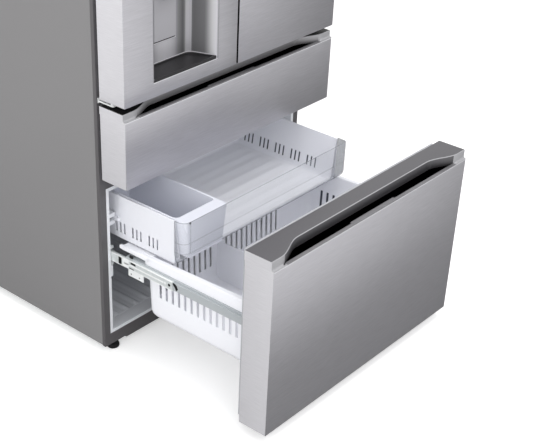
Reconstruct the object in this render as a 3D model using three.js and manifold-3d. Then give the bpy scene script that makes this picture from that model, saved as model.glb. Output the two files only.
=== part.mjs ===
// A four-door refrigerator: two upper doors, a middle drawer and a freezer drawer
// that stands pulled out, with a sliding tray above its basket.
// Millimetres, +Z up, the front faces -Y. The pieces are drawn with y = 0 at the front
// plane of the closed doors and z = 0 on the floor, and the whole group then moves
// along y so that the origin is the centre of the outline on the floor.

import * as THREE from 'three';
import { mergeVertices } from 'three/addons/utils/BufferGeometryUtils.js';
import Module from 'manifold-3d';

const wasm = await Module();
wasm.setup();

// ---------------------------------------------------------------- driving sizes

// Case
const caseWidth = 900;
const caseHeight = 1722;
const caseDepth = 734;
const floorGap = 28;
const panSheet = 2.7;
const rearSheet = 2;
const seat = 0.3;
const frameDepth = 12;
const frameSide = 23;
const frameBottom = 39;
const frameTop = 23;
const valanceDrop = 6;
const mullionHeight = 76;
const lipWidth = 11;
const linerWall = 2.5;

// Fronts
const panelDepth = 98;
const sealGap = 14.4;
const frontOverhang = 4;
const doorGap = 7;
const topReveal = 2.2;
const edgeRadius = 4;
const freezerFrontBottom = 35.4;
const freezerFaceHeight = 529;
const freezerCapHeight = 29.1;
const gapAboveFreezer = 12.9;
const middleFaceHeight = 200;
const middleCapHeight = 22.7;
const gapAboveMiddle = 18.7;
const capSetback = 8;

// Pocket handles
const pocketEndInset = 37;
const pocketEndLength = 114;
const pocketReach = 43.5;
const pocketDrop = 19;
const pocketWall = 3;
const pocketRound = 24;
const lipFront = 0.5;
const lipBack = 11.5;
const lipHeight = 2.5;
const lipCove = 6;
const tabDepth = 5.5;
const tabHeight = 5;
const tabLeft = -108;
const tabRight = 92;

// Gaskets
const gasketWidth = 16;
const gasketInset = 7;
const gasketSideInset = 15;

// Compartments behind the front plane of the case
const fridgeDepth = 640;
const middleDepth = 560;
const freezerDepth = 610;
const machineDepth = 220;
const machineHeight = 240;
const machineSide = 20;
const stepInsulation = 45;
const linerRadius = 14;

// Door hinges
const hingeInset = 14;
const hingeY = 60;
const hingePinRadius = 5;
const hingePinHold = 25;
const hingeClearance = 0.5;
const hingeSheet = 4;
const hingeCoverHeight = 34;

// Door liners
const dykeClear = 6;
const dykeDepth = 42;
const dykeWidth = 25;
const dykeCentre = 48;
const doorLinerSheet = 2;
const binDepth = 118;
const binHeight = 105;
const binWall = 2.5;
const ledgeWidth = 8;
const ledgeHeight = 6;
const chuteDrop = 492;
const chuteDepth = 70;
const binAboveChute = 40;
const topBinDrop = 227;
const middleBinDrop = 397;
const lowBinRise = 113;

// Dispenser
const recessSideInset = 110;
const recessWidth = 258.5;
const recessFloor = 888;
const recessHeight = 340;
const recessDepth = 84;
const recessTaper = 33;
const recessRadius = 24;
const recessWall = 3;
const paddleWidth = 66;
const paddleLength = 88;
const paddleThickness = 5;
const paddlePinRadius = 3;
const paddleY = 50;
const splashPadWidth = 85;
const splashPadBottom = 70;
const splashPadThickness = 3;
const drainRim = 5;
const spoutDrop = 46;

// Mullion flap
const flapPivotX = -30;
const flapThickness = 14;
const flapWidth = 58;
const flapPinRadius = 3;
const flapLugHeight = 22;

// Freezer drawer
const drawerTravel = 526.3;
const slideHeight = 34;
const slideBottom = 320;
const slideLength = 480;
const slideSheet = 1.8;
const slideRun = 0.5;
const slideThickness = 13;
const bracketReach = 16;
const bracketGap = 5;
const bracketLength = 14;
const basketBottom = 161;
const basketTop = 396;
const basketBandHeight = 40;
const bandSideClearance = 16;
const bandOverhang = 15;
const basketDraft = 26;
const basketRearSlope = 35;
const basketLength = 428;
const basketWall = 2.5;
const basketRadius = 28;
const bandRearDrop = 15;
const tongueLength = 88;
const tongueInset = 22;
const tongueHeight = 14;
const slotPitch = 24.5;
const slotWidth = 8;
const sideSlotBottom = 250;
const rearSlotBottom = 228;
const slotHeight = 67;
const dividerX = -78;
const dividerTop = 303;

// Sliding tray
const trayShare = 0.52;
const trayFront = -147;
const traySideClearance = 40;
const trayChannelLength = 520;
const trayChannelClearance = 3;
const trayBottom = 385;
const trayTop = 523;
const trayLength = 459;
const trayReturn = 38;
const trayWall = 3;
const trayRadius = 18;
const traySlotWidth = 6;
const traySlotHeight = 34;
const traySlotPitch = 16.3;
const traySlotGroupPitch = 66.3;
const traySlotBottom = 403;
const trayRibPitch = 44;
const iceBinWidth = 182;
const trayRunnerZ = 440;

// Fridge interior
const shelfHeight = 1330;
const crisperShelfHeight = 1125;
const shelfFront = 262;
const shelfSheet = 5;
const crisperFront = 245;
const crisperRear = 702;
const crisperSideClearance = 4;
const ductDepth = 28;
const ductHalfWidth = 150;

// Feet, rollers and machine compartment
const footInset = 50;
const footSetback = 19.6;
const footRadius = 20;
const footStemRadius = 6;
const rollerInset = 52;
const rollerRearInset = 66;
const rollerRadius = 25;
const rollerWidth = 18;
const rollerPinRadius = 4;
const compressorRadius = 82;
const compressorHeight = 165;
const compressorInset = 215;
const fanRadius = 74;
const fanX = 20;

// ---------------------------------------------------------------- derived places

const caseFront = panelDepth + sealGap;
const caseRear = caseFront + caseDepth;
const caseTop = floorGap + caseHeight;
const caseHalf = caseWidth / 2;
const panelHalf = caseHalf + frontOverhang;
const frameRear = caseFront + frameDepth;
const bodyFront = frameRear + seat;
const bodyRear = caseRear - rearSheet - seat;
const bodyBottom = floorGap + panSheet + seat;

const freezerFaceTop = freezerFrontBottom + freezerFaceHeight;
const freezerCapTop = freezerFaceTop + freezerCapHeight;
const middleBottom = freezerCapTop + gapAboveFreezer;
const middleFaceTop = middleBottom + middleFaceHeight;
const middleCapTop = middleFaceTop + middleCapHeight;
const doorBottom = middleCapTop + gapAboveMiddle;
const doorTop = caseTop - topReveal;

const lowerMullion = (freezerCapTop + middleBottom) / 2;
const upperMullion = (middleCapTop + doorBottom) / 2;
const openingHalf = caseHalf - frameSide;
const linerHalf = openingHalf - lipWidth;

// Each compartment's clear opening, from low to high
const freezerOpening = [floorGap + frameBottom, lowerMullion - mullionHeight / 2];
const middleOpening = [lowerMullion + mullionHeight / 2, upperMullion - mullionHeight / 2];
const fridgeOpening = [upperMullion + mullionHeight / 2, caseTop - frameTop];

const hingeX = panelHalf - hingeInset;
const footX = caseHalf - footInset;
const footY = caseFront + footSetback;
const rollerX = caseHalf - rollerInset;
const rollerY = caseRear - rollerRearInset;
const compressorX = compressorInset - caseHalf;

const pocketHalfWidth = panelHalf - pocketEndInset;
const pocketStraightHalf = pocketHalfWidth - pocketEndLength;
const recessLeft = recessSideInset - panelHalf;
const recessRight = recessLeft + recessWidth;
const trayHalfWidth = linerHalf - traySideClearance;
const basketBandHalf = linerHalf - bandSideClearance;
const basketHalfWidth = basketBandHalf - bandOverhang;
const chuteTop = fridgeOpening[1] - chuteDrop;
const leftBinHeights = [chuteTop + binAboveChute, fridgeOpening[1] - topBinDrop];
const rightBinHeights = [fridgeOpening[0] + lowBinRise, fridgeOpening[1] - middleBinDrop];
const machineFront = caseRear - machineDepth;
const machineTop = floorGap + machineHeight;
const slideX = linerHalf - seat;

// ---------------------------------------------------------------- shape helpers

// A closed mesh as a solid that can be joined and cut.
function toSolid(geometry) {
  const plain = geometry.clone();
  plain.deleteAttribute('normal');
  plain.deleteAttribute('uv');
  const merged = mergeVertices(plain, 1e-4);
  return new wasm.Manifold(new wasm.Mesh({
    numProp: 3,
    vertProperties: new Float32Array(merged.attributes.position.array),
    triVerts: new Uint32Array(merged.index.array),
  }));
}

function toGeometry(solid) {
  const mesh = solid.getMesh();
  const geometry = new THREE.BufferGeometry();
  geometry.setAttribute('position', new THREE.BufferAttribute(mesh.vertProperties, 3));
  geometry.setIndex(new THREE.BufferAttribute(mesh.triVerts, 1));
  geometry.computeVertexNormals();
  return geometry;
}

function cut(base, ...tools) {
  return toGeometry(tools.reduce((solid, tool) => solid.subtract(toSolid(tool)), toSolid(base)));
}

function join(base, ...others) {
  return toGeometry(others.reduce((solid, other) => solid.add(toSolid(other)), toSolid(base)));
}

function common(base, other) {
  return toGeometry(toSolid(base).intersect(toSolid(other)));
}

function block(x0, x1, y0, y1, z0, z1) {
  const geometry = new THREE.BoxGeometry(x1 - x0, y1 - y0, z1 - z0);
  return geometry.translate((x0 + x1) / 2, (y0 + y1) / 2, (z0 + z1) / 2);
}

// Block on one side of the middle plane, between two distances from it.
function slab(side, near, far, y0, y1, z0, z1) {
  return side < 0 ? block(-far, -near, y0, y1, z0, z1) : block(near, far, y0, y1, z0, z1);
}

// Outline with rounded corners; each point is [a, b] or [a, b, radius].
function outline(points) {
  const shape = new THREE.Shape();
  points.forEach(([a, b, radius = 0], i) => {
    const corner = new THREE.Vector2(a, b);
    const before = new THREE.Vector2(...points.at(i - 1));
    const after = new THREE.Vector2(...points[(i + 1) % points.length]);
    const start = corner.clone().add(before.sub(corner).setLength(radius || 1e-9));
    const end = corner.clone().add(after.sub(corner).setLength(radius || 1e-9));
    const place = i === 0 ? 'moveTo' : 'lineTo';
    if (radius === 0) {
      shape[place](a, b);
      return;
    }
    shape[place](start.x, start.y);
    shape.quadraticCurveTo(a, b, end.x, end.y);
  });
  shape.closePath();
  return shape;
}

function rectangle(a0, a1, b0, b1, radius = 0) {
  return outline([[a0, b0, radius], [a1, b0, radius], [a1, b1, radius], [a0, b1, radius]]);
}

function extrude(shape, depth, steps) {
  return new THREE.ExtrudeGeometry(shape, { depth, bevelEnabled: false, curveSegments: steps });
}

// Prisms of an outline: along z from an xy outline, along x from a yz outline, and
// along y from an xz outline.
function prismZ(shape, z0, z1, steps = 4) {
  return extrude(shape, z1 - z0, steps).translate(0, 0, z0);
}

function prismX(shape, x0, x1, steps = 4) {
  const turn = new THREE.Matrix4().makeBasis(
    new THREE.Vector3(0, 1, 0), new THREE.Vector3(0, 0, 1), new THREE.Vector3(1, 0, 0));
  return extrude(shape, x1 - x0, steps).applyMatrix4(turn).translate(x0, 0, 0);
}

function prismY(shape, y0, y1, steps = 4) {
  const turn = new THREE.Matrix4().makeBasis(
    new THREE.Vector3(1, 0, 0), new THREE.Vector3(0, 0, 1), new THREE.Vector3(0, -1, 0));
  return extrude(shape, y1 - y0, steps).applyMatrix4(turn).translate(0, y1, 0);
}

function cylinderZ(x, y, z0, z1, radius, sides = 20) {
  const geometry = new THREE.CylinderGeometry(radius, radius, z1 - z0, sides);
  return geometry.rotateX(Math.PI / 2).translate(x, y, (z0 + z1) / 2);
}

function cylinderX(x0, x1, y, z, radius, sides = 20) {
  const geometry = new THREE.CylinderGeometry(radius, radius, x1 - x0, sides);
  return geometry.rotateZ(Math.PI / 2).translate((x0 + x1) / 2, y, z);
}

// Horizontal ring of points round a rectangle with rounded corners.
function ring(x0, x1, y0, y1, z, radius, steps = 3) {
  const corners = [[x1, y1, 0], [x0, y1, 1], [x0, y0, 2], [x1, y0, 3]];
  const points = [];
  for (const [x, y, quarter] of corners) {
    const cx = x - Math.sign(x - (x0 + x1) / 2) * radius;
    const cy = y - Math.sign(y - (y0 + y1) / 2) * radius;
    for (let i = 0; i <= steps; i++) {
      const angle = (quarter + i / steps) * Math.PI / 2;
      points.push([cx + radius * Math.cos(angle), cy + radius * Math.sin(angle), z]);
    }
  }
  return points;
}

// Closed solid through horizontal rings of equal length, from the lowest up.
function loft(...rings) {
  const count = rings[0].length;
  const positions = rings.flat().flat();
  const index = [];
  for (let level = 0; level < rings.length - 1; level++) {
    for (let i = 0; i < count; i++) {
      const a = level * count + i;
      const b = level * count + (i + 1) % count;
      index.push(a, b, b + count, a, b + count, a + count);
    }
  }
  const top = (rings.length - 1) * count;
  for (let i = 1; i < count - 1; i++) {
    index.push(0, i + 1, i);
    index.push(top, top + i, top + i + 1);
  }
  const geometry = new THREE.BufferGeometry();
  geometry.setAttribute('position', new THREE.Float32BufferAttribute(positions, 3));
  geometry.setIndex(index);
  return geometry;
}

function spread(from, to, pitch) {
  const count = Math.floor((to - from) / pitch);
  const start = (from + to - count * pitch) / 2;
  return Array.from({ length: count + 1 }, (_, i) => start + i * pitch);
}

function mirrored(geometry) {
  const copy = geometry.clone().scale(-1, 1, 1);
  const index = copy.index ?? new THREE.BufferAttribute(
    new Uint32Array(Array.from({ length: copy.attributes.position.count }, (_, i) => i)), 1);
  const flipped = Array.from(index.array);
  for (let i = 0; i < flipped.length; i += 3) {
    [flipped[i], flipped[i + 1]] = [flipped[i + 1], flipped[i]];
  }
  copy.setIndex(flipped);
  return copy;
}

// ---------------------------------------------------------------- finishes

const finishes = {
  brushedSteel: [0x9a9a9d, 0.35, 0.9],
  sidePaint: [0x8c8b8c, 0.55, 0.2],
  framePaint: [0x58575a, 0.55, 0.2],
  capPlastic: [0x6e6d70, 0.5, 0.1],
  whiteLiner: [0xe9ebef, 0.45, 0],
  coolGreyLiner: [0x6f7178, 0.5, 0],
  clearPlastic: [0xcbd0d6, 0.15, 0],
  shelfGlass: [0xbfd0cc, 0.08, 0],
  zincSteel: [0xc3c8ca, 0.35, 0.9],
  blackPlastic: [0x202022, 0.55, 0],
  gasketRubber: [0x55565a, 0.8, 0],
  darkGrille: [0x3a393b, 0.5, 0],
  dispenserGrey: [0xa5a5a8, 0.4, 0.2],
};

const root = new THREE.Group();
const drawerGroup = new THREE.Group();
const trayGroup = new THREE.Group();
const slideGroup = new THREE.Group();
root.add(drawerGroup, trayGroup, slideGroup);

function piece(name, geometry, finish, group = root) {
  const [color, roughness, metalness] = finishes[finish];
  const material = new THREE.MeshStandardMaterial({ color, roughness, metalness });
  const mesh = new THREE.Mesh(geometry, material);
  mesh.name = name;
  group.add(mesh);
}

// ---------------------------------------------------------------- case

// Side outline of a compartment; grow moves its walls outwards.
function roomOutline(opening, depth, grow) {
  const [low, high] = opening;
  const r = linerRadius;
  return outline([
    [caseFront, low + lipWidth - grow], [caseFront + depth + grow, low + lipWidth - grow, r],
    [caseFront + depth + grow, high - lipWidth + grow, r], [caseFront, high - lipWidth + grow],
  ]);
}

// The freezer's outline steps forward over the machine compartment.
function freezerOutline(grow) {
  const [low, high] = freezerOpening;
  const r = linerRadius;
  const rear = caseFront + freezerDepth + grow;
  const stepY = machineFront - stepInsulation + grow;
  const stepZ = machineTop + stepInsulation - grow;
  return outline([
    [caseFront, low + lipWidth - grow], [stepY, low + lipWidth - grow, r], [stepY, stepZ, r],
    [rear, stepZ, r], [rear, high - lipWidth + grow, r], [caseFront, high - lipWidth + grow],
  ]);
}

const rooms = {
  fridge: [(grow) => roomOutline(fridgeOpening, fridgeDepth, grow), fridgeOpening],
  middle: [(grow) => roomOutline(middleOpening, middleDepth, grow), middleOpening],
  freezer: [freezerOutline, freezerOpening],
};

function room(name, grow) {
  const half = linerHalf + grow;
  return prismX(rooms[name][0](grow), -half, half, 3);
}

// Foamed case: outer sheet, insulation and the pockets that hold the liners.
function cabinetBody() {
  const body = prismZ(rectangle(-caseHalf, caseHalf, bodyFront, bodyRear, edgeRadius), bodyBottom, caseTop, 2);
  const pockets = Object.keys(rooms).map((name) => room(name, linerWall + seat));
  const machine = block(-caseHalf + machineSide, caseHalf - machineSide,
    machineFront, bodyRear + 1, bodyBottom - 1, machineTop);
  const stems = [-footX, footX].map((x) => cylinderZ(x, footY, bodyBottom - 1, bodyBottom + 30,
    footStemRadius + hingeClearance, 12));
  return cut(body, ...pockets, machine, ...stems);
}

// Front frame: side flanges, the two mullion bars and the base bar, one welded piece.
function frontFrame() {
  const frame = block(-caseHalf, caseHalf, caseFront, frameRear, floorGap, caseTop);
  const openings = [freezerOpening, middleOpening, fridgeOpening].map(([low, high]) =>
    block(-openingHalf, openingHalf, caseFront - 1, frameRear + 1, low, high));
  const valance = block(-footX + 2 * footRadius, footX - 2 * footRadius,
    caseFront, frameRear, floorGap - valanceDrop, floorGap + 1);
  return join(cut(frame, ...openings), valance);
}

// Liner: a moulded box with a thick lip that fills the frame's opening.
function liner(name) {
  const [low, high] = rooms[name][1];
  const lip = block(-openingHalf + seat, openingHalf - seat, caseFront, frameRear, low + seat, high - seat);
  const walls = room(name, linerWall);
  const behind = block(-caseHalf, caseHalf, frameRear - 1, caseRear, low, high);
  const mouth = room(name, 0);
  const hollow = join(mouth, block(-linerHalf, linerHalf, caseFront - 5, caseFront + 5,
    low + lipWidth, high - lipWidth));
  return [join(lip, common(walls, behind)), hollow];
}

// The fridge liner carries the shelf ledges and the raised air duct on its rear wall.
function fridgeLiner() {
  const [shell, hollow] = liner('fridge');
  const rear = caseFront + fridgeDepth;
  const ledges = [shelfHeight, crisperShelfHeight].flatMap((z) => [-1, 1].map((side) =>
    slab(side, linerHalf - 10, linerHalf, shelfFront + 20, rear, z - 14, z - seat)));
  return join(cut(shell, hollow), ...ledges, airDuct());
}

function airDuct() {
  const rear = caseFront + fridgeDepth + 1;
  const z0 = crisperShelfHeight + 50;
  const z1 = fridgeOpening[1] - lipWidth - 30;
  const plan = outline([[-ductHalfWidth, rear], [-ductHalfWidth + 14, rear - ductDepth, 6],
    [ductHalfWidth - 14, rear - ductDepth, 6], [ductHalfWidth, rear]]);
  const vents = spread(z0 + 60, z1 - 60, 110).flatMap((z) => [-70, 70].map((x) =>
    block(x - 32, x + 32, rear - ductDepth - 1, rear - ductDepth + 8, z - 5, z + 5)));
  return cut(prismZ(plan, z0, z1), ...vents);
}

function middleLiner() {
  const [shell, hollow] = liner('middle');
  return cut(shell, hollow);
}

// The freezer liner carries the tray's channels on its side walls.
function freezerLiner() {
  const [shell, hollow] = liner('freezer');
  const inner = trayHalfWidth + trayChannelClearance;
  const rails = [-1, 1].flatMap((side) => [trayRunnerZ - 12 - seat, trayRunnerZ + 12 + seat].map((z) =>
    slab(side, inner, linerHalf, frameRear + 4, frameRear + trayChannelLength, z, z + 12)));
  return join(cut(shell, hollow), ...rails);
}

function rearPanel() {
  const sheet = block(-caseHalf + 1, caseHalf - 1, caseRear - rearSheet, caseRear, machineTop + 1, caseTop - 1);
  const ribs = spread(-caseHalf + 120, caseHalf - 120, 220).map((x) =>
    prismY(rectangle(x - 15, x + 15, machineTop + 90, caseTop - 90, 14), caseRear - 1, caseRear + 3, 3));
  return join(sheet, ...ribs);
}

// Rear cover of the machine compartment with rows of vent slots.
function machineCover() {
  const sheet = block(-caseHalf + 2, caseHalf - 2, caseRear - rearSheet, caseRear, floorGap + 4, machineTop + 1 - seat);
  const slots = spread(-caseHalf + 100, caseHalf - 100, 140).flatMap((x) =>
    spread(floorGap + 50, machineTop - 50, 24).map((z) =>
      block(x - 56, x + 56, caseRear - rearSheet - 1, caseRear + 1, z - 4, z + 4)));
  return cut(sheet, ...slots);
}

function rollerEars(x) {
  const gap = rollerWidth / 2 + 1;
  const y = rollerY;
  const ears = [x - gap - 3, x + gap].map((x0) =>
    prismX(outline([[y - 14, floorGap + 1], [y - 10, rollerRadius - 10, 6], [y + 10, rollerRadius - 10, 6],
      [y + 14, floorGap + 1]]), x0, x0 + 3, 3));
  return [...ears, cylinderX(x - gap - 2, x + gap + 2, y, rollerRadius, rollerPinRadius, 12)];
}

// Bottom sheet with the stem holes, the roller forks and the roller cut-outs.
function basePan() {
  const top = floorGap + panSheet;
  const sheet = block(-caseHalf + 2, caseHalf - 2, bodyFront, bodyRear, floorGap, top);
  const y = rollerY;
  const r = rollerRadius + 3;
  const windows = [-rollerX, rollerX].map((x) =>
    block(x - rollerWidth / 2 - 1, x + rollerWidth / 2 + 1, y - r, y + r, floorGap - 1, top + 1));
  const stems = [-footX, footX].map((x) =>
    cylinderZ(x, footY, floorGap - 1, top + 1, footStemRadius + hingeClearance, 12));
  return join(cut(sheet, ...windows, ...stems), ...rollerEars(-rollerX), ...rollerEars(rollerX));
}

function foot(x) {
  const r = footRadius;
  const profile = [[0, 0], [r - 2, 0], [r, 3], [r, 11], [r - 6, 14], [footStemRadius, 15],
    [footStemRadius, floorGap + 24], [0, floorGap + 24]];
  const points = profile.map(([a, b]) => new THREE.Vector2(a, b));
  return new THREE.LatheGeometry(points, 24).rotateX(Math.PI / 2).translate(x, footY, 0);
}

function roller(x) {
  const half = rollerWidth / 2;
  const r = rollerRadius;
  const bore = rollerPinRadius + hingeClearance;
  const profile = [[bore, -half], [r - 2, -half], [r, -half + 2], [r, half - 2], [r - 2, half],
    [bore, half], [bore, -half]];
  const points = profile.map(([a, b]) => new THREE.Vector2(a, b));
  return new THREE.LatheGeometry(points, 24).rotateZ(Math.PI / 2).translate(x, rollerY, r);
}

// Domed compressor can on its mounting plate, with the two pipe stubs.
function compressor() {
  const h = compressorHeight;
  const r = compressorRadius;
  const base = floorGap + panSheet + seat;
  const profile = [[0, 0], [r * 0.7, 0], [r * 0.95, h * 0.12], [r, h * 0.3], [r, h * 0.62],
    [r * 0.94, h * 0.8], [r * 0.72, h * 0.94], [r * 0.3, h], [0, h]];
  const points = profile.map(([a, b]) => new THREE.Vector2(a, b));
  const y = machineFront + machineDepth / 2 - 6;
  const can = new THREE.LatheGeometry(points, 24).rotateX(Math.PI / 2).translate(compressorX, y, base + 14);
  const plate = block(compressorX - 95, compressorX + 95, y - 70, y + 70, base + 12, base + 18);
  const pads = [[-80, -56], [80, -56], [-80, 56], [80, 56]].map(([dx, dy]) =>
    cylinderZ(compressorX + dx, y + dy, base, base + 14, 12, 12));
  const stubs = [-22, 22].map((dy) =>
    cylinderX(compressorX + r - 20, compressorX + r + 28, y + dy, base + 90, 5, 10));
  return join(can, plate, ...pads, ...stubs);
}

// Shroud plate on the pan, with the motor held in it by three arms.
function fanMotor() {
  const y = machineFront + machineDepth / 2 - 2;
  const base = floorGap + panSheet + seat;
  const z = base + fanRadius + 28;
  const plateX = fanX + 42;
  const plate = block(plateX, plateX + 3, machineFront + 12, bodyRear - 12, base, z + fanRadius + 16);
  const hole = cylinderX(plateX - 1, plateX + 4, y, z, fanRadius + 4, 24);
  const arms = [0, 120, 240].map((degrees) => {
    const arm = block(plateX, plateX + 3, -5, 5, 0, fanRadius + 8);
    return arm.rotateX(degrees * Math.PI / 180).translate(0, y, z);
  });
  const motor = cylinderX(plateX - 6, plateX + 34, y, z, 24, 20);
  const shaft = cylinderX(fanX - 10, plateX, y, z, 3, 10);
  return join(cut(plate, hole), ...arms, motor, shaft);
}

// Fan wheel: a hub and five pitched blades.
function fanWheel() {
  const y = machineFront + machineDepth / 2 - 2;
  const z = floorGap + panSheet + seat + fanRadius + 28;
  const hub = cylinderX(-12, 12, 0, 0, 18, 20);
  const blades = Array.from({ length: 5 }, (_, i) => {
    const blade = new THREE.BoxGeometry(2.5, 42, fanRadius - 14).translate(0, 0, 14 + (fanRadius - 14) / 2);
    return blade.rotateZ(-0.6).rotateX(i * Math.PI * 2 / 5);
  });
  const bore = cylinderX(-13, 13, 0, 0, 3.5, 10);
  return cut(join(hub, ...blades), bore).translate(fanX + 8, y, z);
}

// ---------------------------------------------------------------- interior pieces

// Freezer back cover: a shallow box on the rear wall with rows of air slots.
function evaporatorCover() {
  const rear = caseFront + freezerDepth - seat;
  const [x0, x1] = [-linerHalf + 12, linerHalf - 12];
  const z0 = machineTop + stepInsulation + linerRadius + 2;
  const z1 = freezerOpening[1] - lipWidth - linerRadius - 2;
  const box = block(x0, x1, rear - 60, rear, z0, z1);
  const hollow = block(x0 + 3, x1 - 3, rear - 57, rear + 1, z0 + 3, z1 - 3);
  const slots = spread(z1 - 62, z1 - 20, 14).flatMap((z) => [-230, 0, 230].map((x) =>
    block(x - 90, x + 90, rear - 62, rear - 56, z - 3, z + 3)));
  const returns = spread(x0 + 80, x1 - 80, 60).map((x) =>
    block(x - 4, x + 4, rear - 62, rear - 56, z0 + 16, z0 + 46));
  return cut(box, hollow, ...slots, ...returns);
}

// Glass shelf in a moulded frame with a raised rear edge.
function shelf(x0, x1, z, depth) {
  const rear = shelfFront + depth;
  const frame = block(x0, x1, shelfFront, rear, z, z + shelfSheet);
  const frontTrim = prismX(rectangle(shelfFront - 6, shelfFront + 16, z - 10, z + 12, 5), x0, x1, 3);
  const rearEdge = block(x0, x1, rear - 8, rear, z, z + 24);
  return join(frame, frontTrim, rearEdge);
}

// Crisper drawer: a drafted tub with a scooped handle edge at the front.
function crisper(x0, x1) {
  const z0 = fridgeOpening[0] + lipWidth + seat;
  const z1 = crisperShelfHeight - 22;
  const rear = crisperRear;
  const outer = loft(ring(x0 + 8, x1 - 8, crisperFront + 14, rear - 8, z0, 16),
    ring(x0, x1, crisperFront, rear, z1, 18));
  const inner = loft(ring(x0 + 11, x1 - 11, crisperFront + 17, rear - 11, z0 + 3, 14),
    ring(x0 + 3, x1 - 3, crisperFront + 3, rear - 3, z1 + 1, 15));
  const handle = prismX(rectangle(crisperFront - 10, crisperFront + 2, z1 - 26, z1, 4), x0 + 60, x1 - 60, 2);
  return join(cut(outer, inner), handle);
}

// ---------------------------------------------------------------- hinges

function topHinge() {
  const z0 = caseTop + seat;
  const arm = outline([[-hingeX - 6.5, hingeY - 14, 8], [-hingeX + 22, hingeY - 14, 10],
    [-hingeX + 30, frameRear + 10, 12], [-hingeX + 82, frameRear + 18, 10],
    [-hingeX + 82, frameRear + 108, 8], [-hingeX - 6.5, frameRear + 108, 8]]);
  const pin = cylinderZ(-hingeX, hingeY, doorTop - hingePinHold, z0 + 1, hingePinRadius);
  return join(prismZ(arm, z0, z0 + hingeSheet), pin);
}

// Moulded cover over the top hinge, open underneath.
function hingeCover() {
  const z0 = caseTop + seat;
  const z1 = caseTop + hingeCoverHeight;
  const [x0, x1] = [-caseHalf, -hingeX + 88];
  const [y0, y1] = [hingeY - 44, frameRear + 122];
  const outer = loft(ring(x0, x1, y0, y1, z0, 14), ring(x0 + 1, x1 - 1, y0 + 1, y1 - 1, z1 - 6, 14),
    ring(x0 + 7, x1 - 7, y0 + 7, y1 - 7, z1, 10));
  const inner = loft(ring(x0 + 2.4, x1 - 2.4, y0 + 2.4, y1 - 2.4, z0 - 1, 12),
    ring(x0 + 4, x1 - 4, y0 + 4, y1 - 4, z1 - 8, 10));
  return cut(outer, inner);
}

// Bracket between the door and the middle drawer, screwed to the mullion bar.
function middleHinge() {
  const z0 = (middleCapTop + doorBottom) / 2 - 3;
  const tab = block(-hingeX - 6, -hingeX + 48, caseFront - seat - 3, caseFront - seat, z0 - 4, z0 + 10);
  const arm = outline([[-hingeX - 6, hingeY - 8, 6], [-hingeX + 12, hingeY - 8, 6],
    [-hingeX + 20, caseFront - seat - 1], [-hingeX - 6, caseFront - seat - 1]]);
  const pin = cylinderZ(-hingeX, hingeY, z0 + 1, doorBottom + hingePinHold, hingePinRadius);
  return join(tab, prismZ(arm, z0, z0 + hingeSheet), pin);
}

// ---------------------------------------------------------------- doors

// Door in the left-hand place: a steel pan filled with foam, bored for the hinge pins.
function doorPanel() {
  const depth = panelDepth - doorLinerSheet - seat;
  const plan = outline([[-panelHalf, 0, edgeRadius], [-doorGap / 2, 0, edgeRadius],
    [-doorGap / 2, depth], [-panelHalf, depth]]);
  const bores = [[doorBottom - 1, doorBottom + hingePinHold + 2], [doorTop - hingePinHold - 2, doorTop + 1]]
    .map(([z0, z1]) => cylinderZ(-hingeX, hingeY, z0, z1, hingePinRadius + hingeClearance));
  return cut(prismZ(plan, doorBottom, doorTop, 3), ...bores);
}

// Gasket: a bellows ring between a front and the frame it closes on.
function gasketRing(x0, x1, z0, z1) {
  const y0 = panelDepth + seat;
  const y1 = caseFront - seat;
  const w = gasketWidth;
  const outer = loft(
    ring(x0, x1, z0, z1, 0, 5, 2), ring(x0 + 3, x1 - 3, z0 + 3, z1 - 3, (y1 - y0) / 2, 5, 2),
    ring(x0, x1, z0, z1, y1 - y0, 5, 2));
  const inner = loft(
    ring(x0 + w, x1 - w, z0 + w, z1 - w, -1, 3, 2),
    ring(x0 + w, x1 - w, z0 + w, z1 - w, y1 - y0 + 1, 3, 2));
  return cut(outer, inner).rotateX(Math.PI / 2).translate(0, y1, 0);
}

// Inner door moulding: a sheet with a raised rim, and ledges for the bins.
function doorLiner(binHeights) {
  const y0 = panelDepth - doorLinerSheet;
  const edge = 4;
  const sheet = block(-panelHalf + edge, -doorGap / 2 - edge, y0, panelDepth, doorBottom + edge, doorTop - edge);
  const [x0, x1] = [-linerHalf + dykeClear, -dykeCentre];
  const z0 = fridgeOpening[0] + lipWidth + dykeClear;
  const z1 = fridgeOpening[1] - lipWidth - dykeClear;
  const w = dykeWidth;
  const rim = prismY(rectangle(x0, x1, z0, z1, 12), y0 + 1, panelDepth + dykeDepth, 3);
  const well = prismY(rectangle(x0 + w, x1 - w, z0 + w, z1 - w, 8), y0, panelDepth + dykeDepth + 1, 3);
  const ledges = binHeights.flatMap((z) => [[x0 + w - 1, x0 + w + ledgeWidth], [x1 - w - ledgeWidth, x1 - w + 1]]
    .map(([a, b]) => block(a, b, panelDepth - 1, panelDepth + dykeDepth - 4, z - ledgeHeight, z)));
  return join(sheet, cut(rim, well), ...ledges);
}

// The left liner also holds the duct housing behind the dispenser and the flap's lugs.
function leftDoorLiner() {
  const w = dykeWidth;
  const z0 = fridgeOpening[0] + lipWidth + dykeClear;
  const chute = prismX(outline([[panelDepth - 1, z0 + w - 1], [panelDepth + chuteDepth, z0 + w - 1, 10],
    [panelDepth + chuteDepth, chuteTop - 26, 18], [panelDepth + dykeDepth, chuteTop, 6],
    [panelDepth - 1, chuteTop]]), -linerHalf + dykeClear + w - 1, -dykeCentre - w + 1);
  return join(doorLiner(leftBinHeights), chute, ...flapLugs());
}

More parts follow.
